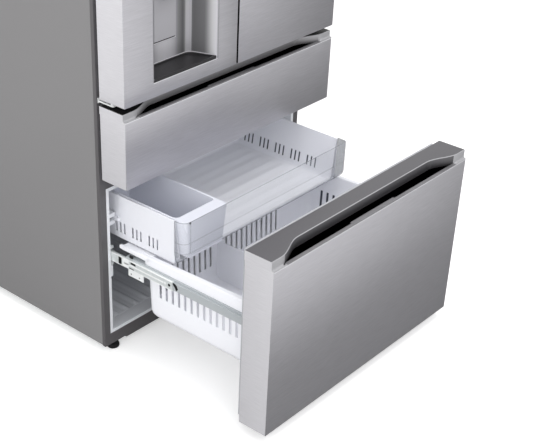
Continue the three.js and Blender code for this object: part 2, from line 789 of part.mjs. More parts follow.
// Door bin: an open tub whose ends rest on the liner's ledges.
function doorBin(z) {
  const x0 = -linerHalf + dykeClear + dykeWidth + seat;
  const x1 = -dykeCentre - dykeWidth - seat;
  const y0 = panelDepth + seat;
  const y1 = y0 + binDepth;
  const zb = z + seat;
  const t = binWall;
  const outer = loft(ring(x0, x1, y0, y1 - 10, zb, 12), ring(x0, x1, y0, y1, zb + binHeight, 14));
  const inner = loft(ring(x0 + t, x1 - t, y0 + t, y1 - 10 - t, zb + t, 10),
    ring(x0 + t, x1 - t, y0 + t, y1 - t, zb + binHeight + 1, 12));
  return cut(outer, inner);
}

// ---------------------------------------------------------------- mullion flap

function flapSpan() {
  return [fridgeOpening[0] + lipWidth + dykeClear, fridgeOpening[1] - lipWidth - dykeClear];
}

function flapPivotY() {
  return caseFront + 8;
}

function flapLugHeights() {
  const [z0, z1] = flapSpan();
  return [z0 + 90, z1 - 90];
}

// Lugs on the liner's free side, each with a pin that stands out both ways.
function flapLugs() {
  const y = flapPivotY();
  const half = flapLugHeight / 2;
  return flapLugHeights().map((z) => join(
    block(-dykeCentre - 1, flapPivotX + flapPinRadius, y - 5, y + 5, z - half, z + half),
    cylinderZ(flapPivotX, y, z - half - 9, z + half + 9, flapPinRadius, 12)));
}

// The flap is folded back along the liner; it turns out to span the gap of the doors.
function mullionFlap() {
  const y = flapPivotY();
  const half = flapThickness / 2;
  const [z0, z1] = flapSpan();
  const bar = prismZ(rectangle(flapPivotX - half, flapPivotX + half, y - half, y + flapWidth, 4), z0, z1, 2);
  const notches = flapLugHeights().flatMap((z) => [
    block(flapPivotX - half - 1, flapPivotX + half + 1, y - half - 1, y + 15,
      z - flapLugHeight / 2 - 1, z + flapLugHeight / 2 + 1),
    cylinderZ(flapPivotX, y, z - flapLugHeight / 2 - 12, z + flapLugHeight / 2 + 12,
      flapPinRadius + hingeClearance, 12),
  ]);
  return cut(bar, ...notches);
}

// ---------------------------------------------------------------- dispenser

// Plan of the recess: its sides close in towards the rounded back.
function recessPlan(grow) {
  const back = recessDepth + grow;
  return outline([
    [recessLeft - grow, -1], [recessRight + grow, -1],
    [recessRight + grow - recessTaper, back, recessRadius], [recessLeft - grow + recessTaper, back, recessRadius],
  ]);
}

function recessCut() {
  const g = recessWall + seat;
  return prismZ(recessPlan(g), recessFloor - g, recessFloor + recessHeight + g, 4);
}

// Moulded recess with the spout hood on its ceiling, the paddle's two ears and a raised
// splash pad on the rear wall.
function dispenserHousing() {
  const ceiling = recessFloor + recessHeight;
  const shell = prismZ(recessPlan(recessWall), recessFloor - recessWall, ceiling + recessWall, 4);
  const hollow = prismZ(recessPlan(0), recessFloor, ceiling, 4);
  const front = block(recessLeft - 20, recessRight + 20, -5, 0.8, recessFloor - 20, ceiling + 20);
  const x = (recessLeft + recessRight) / 2;
  const hood = prismZ(outline([[x - 46, 14, 12], [x + 46, 14, 12], [x + 40, recessDepth + 1],
    [x - 40, recessDepth + 1]]), ceiling - spoutDrop, ceiling + 1, 3);
  const spout = cylinderZ(x, 30, ceiling - spoutDrop - 14, ceiling - spoutDrop + 1, 11, 16);
  const earZ = paddlePivotZ();
  const ears = [x - paddleWidth / 2 - 6, x + paddleWidth / 2 + 1].map((x0) =>
    block(x0, x0 + 5, paddleY - 8, paddleY + 8, earZ - 8, ceiling - spoutDrop + 1));
  const pad = block(x - splashPadWidth / 2, x + splashPadWidth / 2, recessDepth - splashPadThickness,
    recessDepth + 1, recessFloor + splashPadBottom, ceiling - spoutDrop + 1);
  const holes = cylinderX(x - paddleWidth, x + paddleWidth, paddleY, earZ, paddlePinRadius + hingeClearance, 12);
  return cut(join(cut(shell, hollow), hood, spout, pad, ...ears), front, holes);
}

function paddlePivotZ() {
  return recessFloor + recessHeight - spoutDrop - 12;
}

// Paddle: a dished plate under two pivot pins.
function paddle() {
  const x = (recessLeft + recessRight) / 2;
  const z1 = paddlePivotZ();
  const half = paddleWidth / 2;
  const t = paddleThickness;
  const plate = prismX(outline([[paddleY - t / 2, z1], [paddleY - t / 2, z1 - paddleLength * 0.7, 12],
    [paddleY + 4, z1 - paddleLength], [paddleY + 4 + t, z1 - paddleLength],
    [paddleY + t / 2, z1 - paddleLength * 0.7, 12], [paddleY + t / 2, z1]]), x - half, x + half);
  const barrel = cylinderX(x - half, x + half, paddleY, z1, 5, 16);
  const pins = cylinderX(x - half - 5, x + half + 5, paddleY, z1, paddlePinRadius, 12);
  return join(plate, barrel, pins);
}

// Drip tray, a shallow dish that lies on the recess floor.
function dispenserTray() {
  const z0 = recessFloor + seat;
  const body = prismZ(recessPlan(-1.5), z0, z0 + 9, 4);
  const front = block(recessLeft, recessRight, -5, 3, z0 - 1, z0 + 12);
  const dish = prismZ(recessPlan(-1.5 - drainRim), z0 + drainRim, z0 + 12, 4);
  const dishFront = block(recessLeft, recessRight, -5, 3 + drainRim, z0 + drainRim, z0 + 12);
  return cut(body, front, cut(dish, dishFront));
}

// ---------------------------------------------------------------- drawer fronts

// Plan of a pocket handle: straight along the back, with an S curve at each end.
function pocketPlan(frontY) {
  const a = pocketHalfWidth;
  const b = pocketStraightHalf;
  const third = pocketEndLength / 3;
  const shape = new THREE.Shape();
  shape.moveTo(-a, frontY);
  shape.lineTo(-a, capSetback);
  shape.bezierCurveTo(-a + third, capSetback, -b - third, pocketReach, -b, pocketReach);
  shape.lineTo(b, pocketReach);
  shape.bezierCurveTo(b + third, pocketReach, a - third, capSetback, a, capSetback);
  shape.lineTo(a, frontY);
  shape.closePath();
  return shape;
}

function pocketLevels(faceTop) {
  const lipTop = faceTop + lipHeight;
  return [lipTop - pocketDrop, lipTop];
}

function pocketBox(faceTop, grow) {
  const [floor] = pocketLevels(faceTop);
  const w = pocketWall + grow;
  return block(-pocketHalfWidth - w, pocketHalfWidth + w, lipBack - w,
    pocketReach + w, floor - w, faceTop + 1);
}

// Drawer front below the cap, hollowed at the top for the handle's pocket.
function drawerFront(bottom, faceTop) {
  const plan = outline([[-panelHalf, 0, edgeRadius], [panelHalf, 0, edgeRadius],
    [panelHalf, panelDepth], [-panelHalf, panelDepth]]);
  return cut(prismZ(plan, bottom, faceTop - seat, 3), pocketBox(faceTop, seat));
}

// Handle cap: the moulded top of a drawer front. Its finger pocket is a round-bottomed
// trough, bounded in plan by the S curves and in front by the lip with its pull tab.
function handleCap(faceTop, capTop) {
  const [floor, lipTop] = pocketLevels(faceTop);
  const profile = outline([[0, faceTop], [panelDepth, faceTop], [panelDepth, capTop],
    [capSetback, capTop, 2], [capSetback, lipTop, lipCove], [lipFront, lipTop]]);
  const bar = join(prismX(profile, -panelHalf, panelHalf, 3), pocketBox(faceTop, 0));
  const trough = prismX(outline([[lipBack, capTop + 1], [lipBack, floor, 5],
    [pocketReach, floor, pocketRound], [pocketReach, capTop + 1]]), -pocketHalfWidth, pocketHalfWidth, 5);
  const plan = pocketPlan(-5);
  const upper = prismZ(plan, lipTop, capTop + 1, 8);
  const pocket = common(join(trough, upper), prismZ(plan, floor - 1, capTop + 2, 8));
  const tab = block(tabLeft, tabRight, lipBack - 1, lipBack + tabDepth, lipTop - tabHeight, lipTop);
  return join(cut(bar, pocket), tab);
}

function panelGasket(bottom, top) {
  const x = panelHalf - gasketSideInset;
  return gasketRing(-x, x, bottom + gasketInset, top - gasketInset);
}

// ---------------------------------------------------------------- slides

// C section of a slide member that is open towards the middle of the cabinet.
function slideSection(inset, reach) {
  const z0 = slideBottom + inset;
  const z1 = slideBottom + slideHeight - inset;
  const x0 = -slideX + inset;
  const x1 = -slideX + reach;
  const t = slideSheet;
  return outline([[x0, z0], [x1, z0], [x1, z0 + t], [x0 + t, z0 + t],
    [x0 + t, z1 - t], [x1, z1 - t], [x1, z1], [x0, z1]]);
}

// The fixed member has a bracket round its mouth that screws it to the liner.
function fixedSlide() {
  const y0 = frameRear + 4;
  const [z0, z1] = [slideBottom, slideBottom + slideHeight];
  const bracket = prismY(outline([[-slideX, z0 - bracketReach], [-slideX + slideThickness, z0 - bracketReach, 4],
    [-slideX + slideThickness, z0 - 2], [-slideX + slideSheet, z0 - 2], [-slideX + slideSheet, z1 + bracketGap],
    [-slideX + slideThickness, z1 + bracketGap], [-slideX + slideThickness, z1 + bracketReach, 4],
    [-slideX, z1 + bracketReach]]), y0 - bracketLength, y0 + 2, 2);
  return join(prismY(slideSection(0, slideThickness - 2), y0, y0 + slideLength), bracket);
}

function slideMember() {
  const step = slideSheet + slideRun;
  const y0 = frameRear + 4;
  return prismY(slideSection(step, slideThickness - 2), y0, y0 + slideLength);
}

// Drawer member: a bar inside the slide with the shelf that carries the basket.
function drawerRunner() {
  const step = 2 * (slideSheet + slideRun);
  const z0 = slideBottom + step;
  const z1 = slideBottom + slideHeight - step;
  const x0 = -slideX + step;
  const x1 = -slideX + slideThickness;
  const top = basketTop - basketBandHeight - seat;
  const y0 = panelDepth + seat;
  const y1 = frameRear + slideLength - 20;
  const bar = block(x0, x1, y0, y1, z0, z1);
  const web = block(x1 - 2, x1, y0, y1, z0, top);
  const shelfPlate = block(x1 - 2, -basketHalfWidth - 1, y0, y1, top - 2, top);
  return join(bar, web, shelfPlate);
}

// ---------------------------------------------------------------- basket

function basketRings(grow, lift) {
  const w = basketHalfWidth - grow;
  const y0 = panelDepth + 4 + grow;
  const y1 = y0 + basketLength - 2 * grow;
  const low = basketBottom + lift;
  const step = basketTop - basketBandHeight;
  const r = basketRadius - grow;
  const d = basketDraft;
  return [
    ring(-w + d, w - d, y0 + 6, y1 - basketRearSlope, low, r),
    ring(-w, w, y0, y1, step, r),
  ];
}

// Slotted basket: a drafted tub with a fixed divider, under a wider band that gets lower
// towards the rear. Two tongues carry the band on along the slides.
function basket() {
  const t = basketWall;
  const step = basketTop - basketBandHeight;
  const y0 = panelDepth + 4;
  const y1 = y0 + basketLength;
  const band = loft(ring(-basketBandHalf, basketBandHalf, y0, y1, step, basketRadius),
    ring(-basketBandHalf, basketBandHalf, y0, y1, basketTop, basketRadius));
  const bandHollow = loft(
    ring(-basketBandHalf + t, basketBandHalf - t, y0 + t, y1 - t, step + t, basketRadius - t),
    ring(-basketBandHalf + t, basketBandHalf - t, y0 + t, y1 - t, basketTop + 1, basketRadius - t));
  const [outerLow, outerHigh] = basketRings(0, 0);
  const [innerLow, innerHigh] = basketRings(t, t);
  const raised = innerHigh.map(([x, y]) => [x, y, step + t + 1]);
  const tub = cut(join(loft(outerLow, outerHigh), band), bandHollow, loft(innerLow, innerHigh, raised));
  const rearDip = block(-trayHalfWidth - 6, trayHalfWidth + 6, y1 - 60, y1 + 1, trayBottom - 7, basketTop + 1);
  const divider = common(block(dividerX - 1.5, dividerX + 1.5, y0, y1, basketBottom + 1, dividerTop),
    loft(outerLow, outerHigh));
  const rearTop = basketTop - bandRearDrop;
  const wedge = prismX(outline([[y0 - 1, basketTop], [y1 + 1, rearTop], [y1 + 1, basketTop + 1],
    [y0 - 1, basketTop + 1]]), -basketBandHalf - 1, basketBandHalf + 1);
  const tongues = [-1, 1].map((s) => slab(s, basketBandHalf - tongueInset, basketBandHalf,
    y1 - basketRadius - 4, y1 + tongueLength, rearTop - 1 - tongueHeight, rearTop - 1));
  return cut(join(cut(tub, wedge), divider, ...tongues), rearDip, ...basketSlots(y0, y1));
}

function basketSlots(y0, y1) {
  const half = slotWidth / 2;
  const side = spread(y0 + 71.5, y1 - 62, slotPitch).flatMap((y) => [-1, 1].map((s) =>
    slab(s, basketHalfWidth - 2 * basketDraft, basketHalfWidth + 10, y - half, y + half,
      sideSlotBottom, sideSlotBottom + slotHeight)));
  const reach = Math.ceil(2 * basketHalfWidth / slotPitch);
  const rear = spread(-reach, reach, 1)
    .map((i) => dividerX + i * slotPitch)
    .filter((x) => x !== dividerX && Math.abs(x) <= basketHalfWidth - 60)
    .map((x) => block(x - half, x + half, y1 - 50, y1 + 5, rearSlotBottom, rearSlotBottom + slotHeight));
  return [...side, ...rear];
}

// ---------------------------------------------------------------- tray

// Tray body: floor, sides and rear; its open front takes the clear moulding.
function tray() {
  const t = trayWall;
  const w = trayHalfWidth;
  const y0 = trayFront + trayReturn + seat;
  const y1 = trayFront + trayLength;
  const outer = loft(ring(-w, w, y0, y1 - 6, trayBottom, trayRadius),
    ring(-w, w, y0, y1, trayTop, trayRadius));
  const inner = loft(ring(-w + t, w - t, y0 + t, y1 - 6 - t, trayBottom + t, trayRadius - t),
    ring(-w + t, w - t, y0 + t, y1 - t, trayTop + 1, trayRadius - t));
  const frontSide = block(-w - 1, w + 1, y0 - 1, y0 + trayRadius + 1, trayBottom - 1, trayTop + 1);
  const sides = join(
    block(-w, -w + t, y0, y0 + trayRadius + 2, trayBottom, trayTop),
    block(-w, w, y0, y0 + trayRadius + 2, trayBottom, trayBottom + t),
    block(w - t, w, y0, y0 + trayRadius + 2, trayBottom, trayTop));
  const ribs = spread(y0 + 40, y1 - 60, trayRibPitch).map((y) =>
    prismX(outline([[y - 8, trayBottom + t - 1], [y + 8, trayBottom + t - 1], [y + 4, trayBottom + t + 5],
      [y - 4, trayBottom + t + 5]]), -w + iceBinWidth + 16, w - t - 1));
  const runners = [-1, 1].map((s) => slab(s, w - 1, w + 7, y1 - 200, y1 - 20, trayRunnerZ, trayRunnerZ + 12));
  return cut(join(cut(outer, inner, frontSide), sides, ...ribs, ...runners), ...traySlots(y0, y1));
}

function traySlots(y0, y1) {
  const half = traySlotWidth / 2;
  const groups = spread(y0 + 84, y1 - 70, traySlotGroupPitch);
  return groups.flatMap((middle) => [-1, 0, 1].flatMap((i) => [-1, 1].map((s) => {
    const y = middle + i * traySlotPitch;
    return slab(s, trayHalfWidth - 10, trayHalfWidth + 4, y - half, y + half,
      traySlotBottom, traySlotBottom + traySlotHeight);
  })));
}

// Clear front moulding: a panel, two returns and a floor that slopes back.
function trayFrontPanel() {
  const w = trayHalfWidth + 2.4;
  const t = trayWall;
  const y0 = trayFront;
  const y1 = trayFront + trayReturn;
  const lift = 28;
  const section = outline([[y0, trayTop + 2], [y0, trayBottom + lift, 4], [y1, trayBottom], [y1, trayBottom + t + 1],
    [y0 + t, trayBottom + lift + 3], [y0 + t, trayTop + 2]]);
  const face = prismX(section, -w, w, 2);
  const end = outline([[y0, trayTop + 2], [y0, trayBottom + lift, 4], [y1, trayBottom], [y1, trayTop]]);
  const ends = [[-w, -w + t], [w - t, w]].map(([a, b]) => prismX(end, a, b, 2));
  return join(face, ...ends);
}

// Ice bin: a tub in the tray's left end with a broad front rim.
function iceBin() {
  const x0 = -trayHalfWidth + trayWall + 4 + seat;
  const x1 = -trayHalfWidth + iceBinWidth;
  const y0 = trayFront + trayReturn + 3;
  const y1 = trayFront + trayLength - 50;
  const z0 = trayBottom + trayWall + seat;
  const z1 = trayTop + 1;
  const outer = loft(ring(x0 + 6, x1 - 6, y0 + 6, y1 - 6, z0, 14), ring(x0, x1, y0, y1, z1, 12));
  const inner = loft(ring(x0 + 9, x1 - 9, y0 + 9, y1 - 9, z0 + 3, 12), ring(x0 + 3, x1 - 3, y0 + 3, y1 - 3, z1 + 1, 10));
  const rim = block(x0, x1, trayFront + trayWall + seat, y0 + 4, z1 - 5, z1);
  return join(cut(outer, inner), rim);
}

// ---------------------------------------------------------------- middle bin

function middleBin() {
  const z0 = middleOpening[0] + lipWidth + 12;
  const z1 = middleOpening[1] - lipWidth - 14;
  const y0 = panelDepth + seat;
  const y1 = caseFront + middleDepth - 50;
  const w = basketHalfWidth;
  const outer = loft(ring(-w + 8, w - 8, y0, y1 - 8, z0, 16), ring(-w, w, y0, y1, z1, 18));
  const inner = loft(ring(-w + 11, w - 11, y0 + 3, y1 - 11, z0 + 3, 14), ring(-w + 3, w - 3, y0 + 3, y1 - 3, z1 + 1, 15));
  const z = middleSlideZ();
  const runners = [-1, 1].map((s) => slab(s, w - 5, slideX - 4, y0 + 30, y1 - 20, z + 3, z + 9));
  const runnersInside = block(-w + 10, w - 10, y0 + 20, y1 - 12, z, z + 12);
  return join(cut(outer, inner), ...runners.map((runner) => cut(runner, runnersInside)));
}

function middleSlideZ() {
  return (middleOpening[0] + middleOpening[1]) / 2;
}

function middleSlide() {
  const z = middleSlideZ();
  const t = slideSheet;
  const [x0, x1] = [-slideX, -slideX + slideThickness];
  const section = outline([[x0, z - 2], [x1, z - 2], [x1, z - 2 + t], [x0 + t, z - 2 + t],
    [x0 + t, z + 12], [x1, z + 12], [x1, z + 12 + t], [x0, z + 12 + t]]);
  return prismY(section, frameRear + 4, frameRear + 4 + slideLength);
}

// ---------------------------------------------------------------- assembly

piece('cabinet_body', cabinetBody(), 'sidePaint');
piece('front_frame', frontFrame(), 'framePaint');
piece('rear_panel', rearPanel(), 'framePaint');
piece('base_pan', basePan(), 'zincSteel');
piece('machine_cover', machineCover(), 'blackPlastic');
piece('fridge_liner', fridgeLiner(), 'whiteLiner');
piece('middle_liner', middleLiner(), 'whiteLiner');
piece('freezer_liner', freezerLiner(), 'whiteLiner');
piece('compressor', compressor(), 'blackPlastic');
piece('fan_motor', fanMotor(), 'zincSteel');
piece('condenser_fan', fanWheel(), 'blackPlastic');
piece('evaporator_cover', evaporatorCover(), 'coolGreyLiner');

const shelfDepth = caseFront + fridgeDepth - ductDepth - 6 - shelfFront;
piece('left_shelf', shelf(-linerHalf + seat, -3, shelfHeight, shelfDepth), 'shelfGlass');
piece('right_shelf', shelf(3, linerHalf - seat, shelfHeight, shelfDepth), 'shelfGlass');
piece('crisper_shelf', shelf(-linerHalf + seat, linerHalf - seat, crisperShelfHeight, shelfDepth), 'shelfGlass');
piece('left_crisper', crisper(-linerHalf + crisperSideClearance, -crisperSideClearance), 'clearPlastic');
piece('right_crisper', crisper(crisperSideClearance, linerHalf - crisperSideClearance), 'clearPlastic');

// Pieces that come in a left and a right copy
const sided = [
  ['top_hinge', topHinge(), 'zincSteel', root],
  ['hinge_cover', hingeCover(), 'framePaint', root],
  ['middle_hinge', middleHinge(), 'zincSteel', root],
  ['door_gasket', gasketRing(-panelHalf + gasketSideInset, -doorGap / 2 - gasketInset,
    doorBottom + gasketInset, doorTop - gasketInset), 'gasketRubber', root],
  ['fixed_slide', fixedSlide(), 'zincSteel', root],
  ['middle_slide', middleSlide(), 'zincSteel', root],
  ['slide_member', slideMember(), 'zincSteel', slideGroup],
  ['drawer_runner', drawerRunner(), 'zincSteel', drawerGroup],
];
for (const [name, geometry, finish, group] of sided) {
  piece(`left_${name}`, geometry, finish, group);
  piece(`right_${name}`, mirrored(geometry), finish, group);
}
piece('left_foot', foot(-footX), 'blackPlastic');
piece('right_foot', foot(footX), 'blackPlastic');
piece('left_roller', roller(-rollerX), 'blackPlastic');
piece('right_roller', roller(rollerX), 'blackPlastic');

piece('left_door_panel', cut(doorPanel(), recessCut()), 'brushedSteel');
piece('left_door_liner', leftDoorLiner(), 'whiteLiner');
piece('dispenser_housing', dispenserHousing(), 'dispenserGrey');
piece('dispenser_tray', dispenserTray(), 'darkGrille');
piece('dispenser_paddle', paddle(), 'darkGrille');
piece('mullion_flap', mullionFlap(), 'coolGreyLiner');
piece('right_door_panel', mirrored(doorPanel()), 'brushedSteel');
piece('right_door_liner', mirrored(doorLiner(rightBinHeights)), 'whiteLiner');
leftBinHeights.forEach((z, i) => piece(`left_door_bin_${i + 1}`, doorBin(z), 'clearPlastic'));
rightBinHeights.forEach((z, i) => piece(`right_door_bin_${i + 1}`, mirrored(doorBin(z)), 'clearPlastic'));

piece('middle_drawer_front', drawerFront(middleBottom, middleFaceTop), 'brushedSteel');
piece('middle_handle_cap', handleCap(middleFaceTop, middleCapTop), 'capPlastic');
piece('middle_gasket', panelGasket(middleBottom, middleCapTop), 'gasketRubber');
piece('middle_drawer_bin', middleBin(), 'clearPlastic');

piece('freezer_drawer_front', drawerFront(freezerFrontBottom, freezerFaceTop),
  'brushedSteel', drawerGroup);
piece('freezer_handle_cap', handleCap(freezerFaceTop, freezerCapTop), 'capPlastic', drawerGroup);
piece('freezer_gasket', panelGasket(freezerFrontBottom, freezerCapTop), 'gasketRubber', drawerGroup);
piece('freezer_basket', basket(), 'whiteLiner', drawerGroup);

piece('upper_tray', tray(), 'whiteLiner', trayGroup);
piece('tray_front', trayFrontPanel(), 'clearPlastic', trayGroup);
piece('ice_bin', iceBin(), 'whiteLiner', trayGroup);

// The drawer stands open, and each slide member follows at half its travel. The tray is
// drawn where it stands, so its group needs no shift.
drawerGroup.position.y = -drawerTravel;
slideGroup.position.y = -drawerTravel / 2;
root.position.y = -(caseRear + 3 - drawerTravel) / 2;

export default root;
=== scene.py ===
"""A four-door refrigerator with its freezer drawer pulled out, on a pale studio floor."""

import bpy
import numpy as np
from mathutils import Matrix, Vector


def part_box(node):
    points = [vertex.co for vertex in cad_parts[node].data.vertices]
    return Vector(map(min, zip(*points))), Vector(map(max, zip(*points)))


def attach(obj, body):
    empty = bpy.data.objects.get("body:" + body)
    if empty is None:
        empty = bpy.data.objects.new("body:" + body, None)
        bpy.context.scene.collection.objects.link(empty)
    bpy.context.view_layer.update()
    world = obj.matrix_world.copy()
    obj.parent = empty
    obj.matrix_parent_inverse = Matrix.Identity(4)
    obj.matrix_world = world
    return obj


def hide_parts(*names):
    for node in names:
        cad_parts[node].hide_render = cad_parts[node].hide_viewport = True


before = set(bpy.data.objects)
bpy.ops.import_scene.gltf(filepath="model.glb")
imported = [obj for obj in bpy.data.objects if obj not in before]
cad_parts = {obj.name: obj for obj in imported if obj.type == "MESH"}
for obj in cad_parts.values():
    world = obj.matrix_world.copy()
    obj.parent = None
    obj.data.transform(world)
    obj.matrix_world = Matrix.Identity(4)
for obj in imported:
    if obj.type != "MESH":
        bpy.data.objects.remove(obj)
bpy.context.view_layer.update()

# ------------------------------------------------------------------ camera
# The photograph was taken from above the front left corner, with a long lens whose
# axis lies off the picture's middle. Lengths are millimetres from the closed doors'
# front plane; place() turns them into metres in the frame.

front_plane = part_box("middle_drawer_front")[0].y * 1000
lens, shift_right, shift_up = 77.34, 0.1141, 0.1392
azimuth, drop, roll = np.radians([48.80, 32.84, 1.26])
camera_x, camera_y, camera_z = -2472.3, -2091.3, 2124.5


def place(x, y, z):
    """Millimetres from the door plane and the floor, as metres in the frame."""
    return np.stack(np.broadcast_arrays(x, np.add(y, front_plane), z), -1) / 1000.0


camera_data = bpy.data.cameras.new("studio_camera")
camera_data.sensor_width = 36.0
camera_data.lens = lens
camera_data.shift_x = shift_right
camera_data.shift_y = shift_up
camera = bpy.data.objects.new("studio_camera", camera_data)
bpy.context.collection.objects.link(camera)
forward = np.array([np.sin(azimuth) * np.cos(drop), np.cos(azimuth) * np.cos(drop), -np.sin(drop)])
level_right = np.array([np.cos(azimuth), -np.sin(azimuth), 0.0])
level_up = np.cross(level_right, forward)
right = np.cos(roll) * level_right + np.sin(roll) * level_up
up = np.cos(roll) * level_up - np.sin(roll) * level_right
turn = Matrix(np.stack([right, up, -forward], 1).tolist()).to_4x4()
camera.matrix_world = Matrix.Translation(place(camera_x, camera_y, camera_z)) @ turn
bpy.context.scene.camera = camera

# ------------------------------------------------------------------ studio
# A seamless pale floor under soft lamps. The world is white to the camera, to gloss
# and to glass, and dimmer as a light, so that pale plastics keep their shading.

world_light = 0.70
floor_half = 9.0
floor_glow = 0.42
# How bright brushed metal sees the floor, a painted reflection: by the distance from the appliance's
# middle line to the front or rear, darkest close in as a painted shadow, and then less towards the
# right, in metres.
foot_sheen, foot_near, foot_far = 0.17, 0.95, 1.9
right_sheen, right_near, right_far = 0.35, 1.4, 3.4


def linear(code):
    """An sRGB hex colour as linear red, green, blue and alpha."""
    srgb = np.array([int(code[i : i + 2], 16) for i in (1, 3, 5)]) / 255.0
    return (*np.where(srgb <= 0.04045, srgb / 12.92, ((srgb + 0.055) / 1.055) ** 2.4), 1.0)


def add_node(tree, kind, settings=None, inputs=None):
    """Adds one shader node: settings are its properties, inputs are values or links."""
    node = tree.nodes.new(kind)
    for name, value in (settings or {}).items():
        setattr(node, name, value)
    for name, value in (inputs or {}).items():
        if isinstance(value, bpy.types.NodeSocket):
            tree.links.new(value, node.inputs[name])
        else:
            node.inputs[name].default_value = value
    return node


def new_tree(name):
    """An empty node material and its tree."""
    material = bpy.data.materials.new(name)
    material.use_nodes = True
    material.node_tree.nodes.clear()
    return material, material.node_tree


def output(tree, surface):
    """Links the finished shader to the material's output."""
    add_node(tree, "ShaderNodeOutputMaterial", None, {"Surface": surface})


def mesh_object(name, points, faces, smooth=35.0):
    """A mesh object at the origin; edges sharper than the smooth angle stay crisp, and
    so do the rims of open sheets."""
    mesh = bpy.data.meshes.new(name)
    corners = np.asarray(points).reshape(-1, 3).tolist()
    mesh.from_pydata(corners, [], [list(face) for face in faces])
    mesh.validate()
    mesh.shade_smooth()
    mesh.set_sharp_from_angle(angle=np.radians(smooth))
    used = np.zeros(len(mesh.loops), int)
    mesh.loops.foreach_get("edge_index", used)
    rims = np.bincount(used, minlength=len(mesh.edges)) == 1
    if rims.any():
        sharp = mesh.attributes.get("sharp_edge")
        if sharp is None:
            sharp = mesh.attributes.new("sharp_edge", "BOOLEAN", "EDGE")
        flags = np.zeros(len(mesh.edges), bool)
        sharp.data.foreach_get("value", flags)
        sharp.data.foreach_set("value", flags | rims)
    piece = bpy.data.objects.new(name, mesh)
    bpy.context.collection.objects.link(piece)
    return piece


bpy.context.scene.view_settings.view_transform = "Standard"
studio_world = bpy.data.worlds.new("studio_world")
bpy.context.scene.world = studio_world
studio_world.use_nodes = True
world_tree = studio_world.node_tree
world_tree.nodes.clear()
ray = add_node(world_tree, "ShaderNodeLightPath")
seen = add_node(world_tree, "ShaderNodeMath", {"operation": "MAXIMUM"},
                {0: ray.outputs["Is Camera Ray"], 1: ray.outputs["Is Transmission Ray"]})
seen = add_node(world_tree, "ShaderNodeMath", {"operation": "MAXIMUM"},
                {0: seen.outputs[0], 1: ray.outputs["Is Glossy Ray"]})
level = add_node(world_tree, "ShaderNodeMapRange", None,
                 {"Value": seen.outputs[0], "To Min": world_light, "To Max": 1.0})
sky = add_node(world_tree, "ShaderNodeBackground", None,
               {"Color": linear("#FFFFFF"), "Strength": level.outputs["Result"]})
add_node(world_tree, "ShaderNodeOutputWorld", None, {"Surface": sky.outputs[0]})

# Matt white sweep. It glows a little to the camera, so it reads as a white page. To gloss it shows a
# painted reflection instead: a glow that is dark near the appliance's foot as a painted shadow,
# brightens away from it and dims to its right.
floor_paint, tree = new_tree("matt_white_sweep")
paint = add_node(tree, "ShaderNodeBsdfDiffuse", None, {"Color": linear("#F2F2F2")})
ray = add_node(tree, "ShaderNodeLightPath")
lift = add_node(tree, "ShaderNodeMath", {"operation": "MULTIPLY"},
                {0: ray.outputs["Is Camera Ray"], 1: floor_glow})
glow = add_node(tree, "ShaderNodeEmission", None,
                {"Color": linear("#FFFFFF"), "Strength": lift.outputs[0]})
both = add_node(tree, "ShaderNodeAddShader", None, {0: paint.outputs[0], 1: glow.outputs[0]})
spot = add_node(tree, "ShaderNodeTexCoord")
parts = add_node(tree, "ShaderNodeSeparateXYZ", None, {"Vector": spot.outputs["Object"]})
ahead = add_node(tree, "ShaderNodeMath", {"operation": "ABSOLUTE"}, {0: parts.outputs["Y"]})
ahead = add_node(tree, "ShaderNodeMapRange", None,
                 {"Value": ahead.outputs[0], "From Min": foot_near, "From Max": foot_far,
                  "To Min": foot_sheen, "To Max": 1.0})
aside = add_node(tree, "ShaderNodeMapRange", None,
                 {"Value": parts.outputs["X"], "From Min": right_near, "From Max": right_far,
                  "To Min": 1.0, "To Max": right_sheen})
sheen = add_node(tree, "ShaderNodeMath", {"operation": "MULTIPLY"},
                 {0: ahead.outputs[0], 1: aside.outputs[0]})
mirror = add_node(tree, "ShaderNodeEmission", None,
                  {"Color": linear("#FFFFFF"), "Strength": sheen.outputs[0]})
page = add_node(tree, "ShaderNodeMixShader", None,
                {0: ray.outputs["Is Glossy Ray"], 1: both.outputs[0], 2: mirror.outputs[0]})
output(tree, page.outputs[0])
floor = mesh_object("studio_floor", [(side * floor_half, depth * floor_half, 0.0)
                                     for side, depth in [(-1, -1), (1, -1), (1, 1), (-1, 1)]],
                    [(0, 1, 2, 3)])
floor.data.materials.append(floor_paint)

for lamp_name, spot, aim, size, power in [
    ("left_soft_box", (-3.6, -0.6, 1.5), (0.0, -0.1, 0.5), 2.4, 37.0),
    ("front_soft_box", (-1.6, -3.4, 2.8), (-0.2, -0.2, 0.8), 2.4, 44.0),
    ("top_soft_box", (0.2, -1.2, 4.4), (0.0, -0.2, 0.4), 2.6, 72.0),
]:
    lamp_data = bpy.data.lights.new(lamp_name, "AREA")
    lamp_data.size = size
    lamp_data.energy = power
    lamp = bpy.data.objects.new(lamp_name, lamp_data)
    bpy.context.collection.objects.link(lamp)
    lamp.location = spot
    lamp.rotation_mode = "QUATERNION"
    lamp.rotation_quaternion = (Vector(aim) - Vector(spot)).to_track_quat("-Z", "Y")

# ------------------------------------------------------------------ case
# Steel sheet, folded and foamed to the liners, then coated with a grey paint whose
# fine orange-peel texture hides fingerprints. The rear and bottom sheets are plain.


def dress(material, *nodes):
    """Gives the carried-over nodes this finish in place of their plain colour."""
    for node in nodes:
        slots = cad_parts[node].data.materials
        slots.clear()
        slots.append(material)


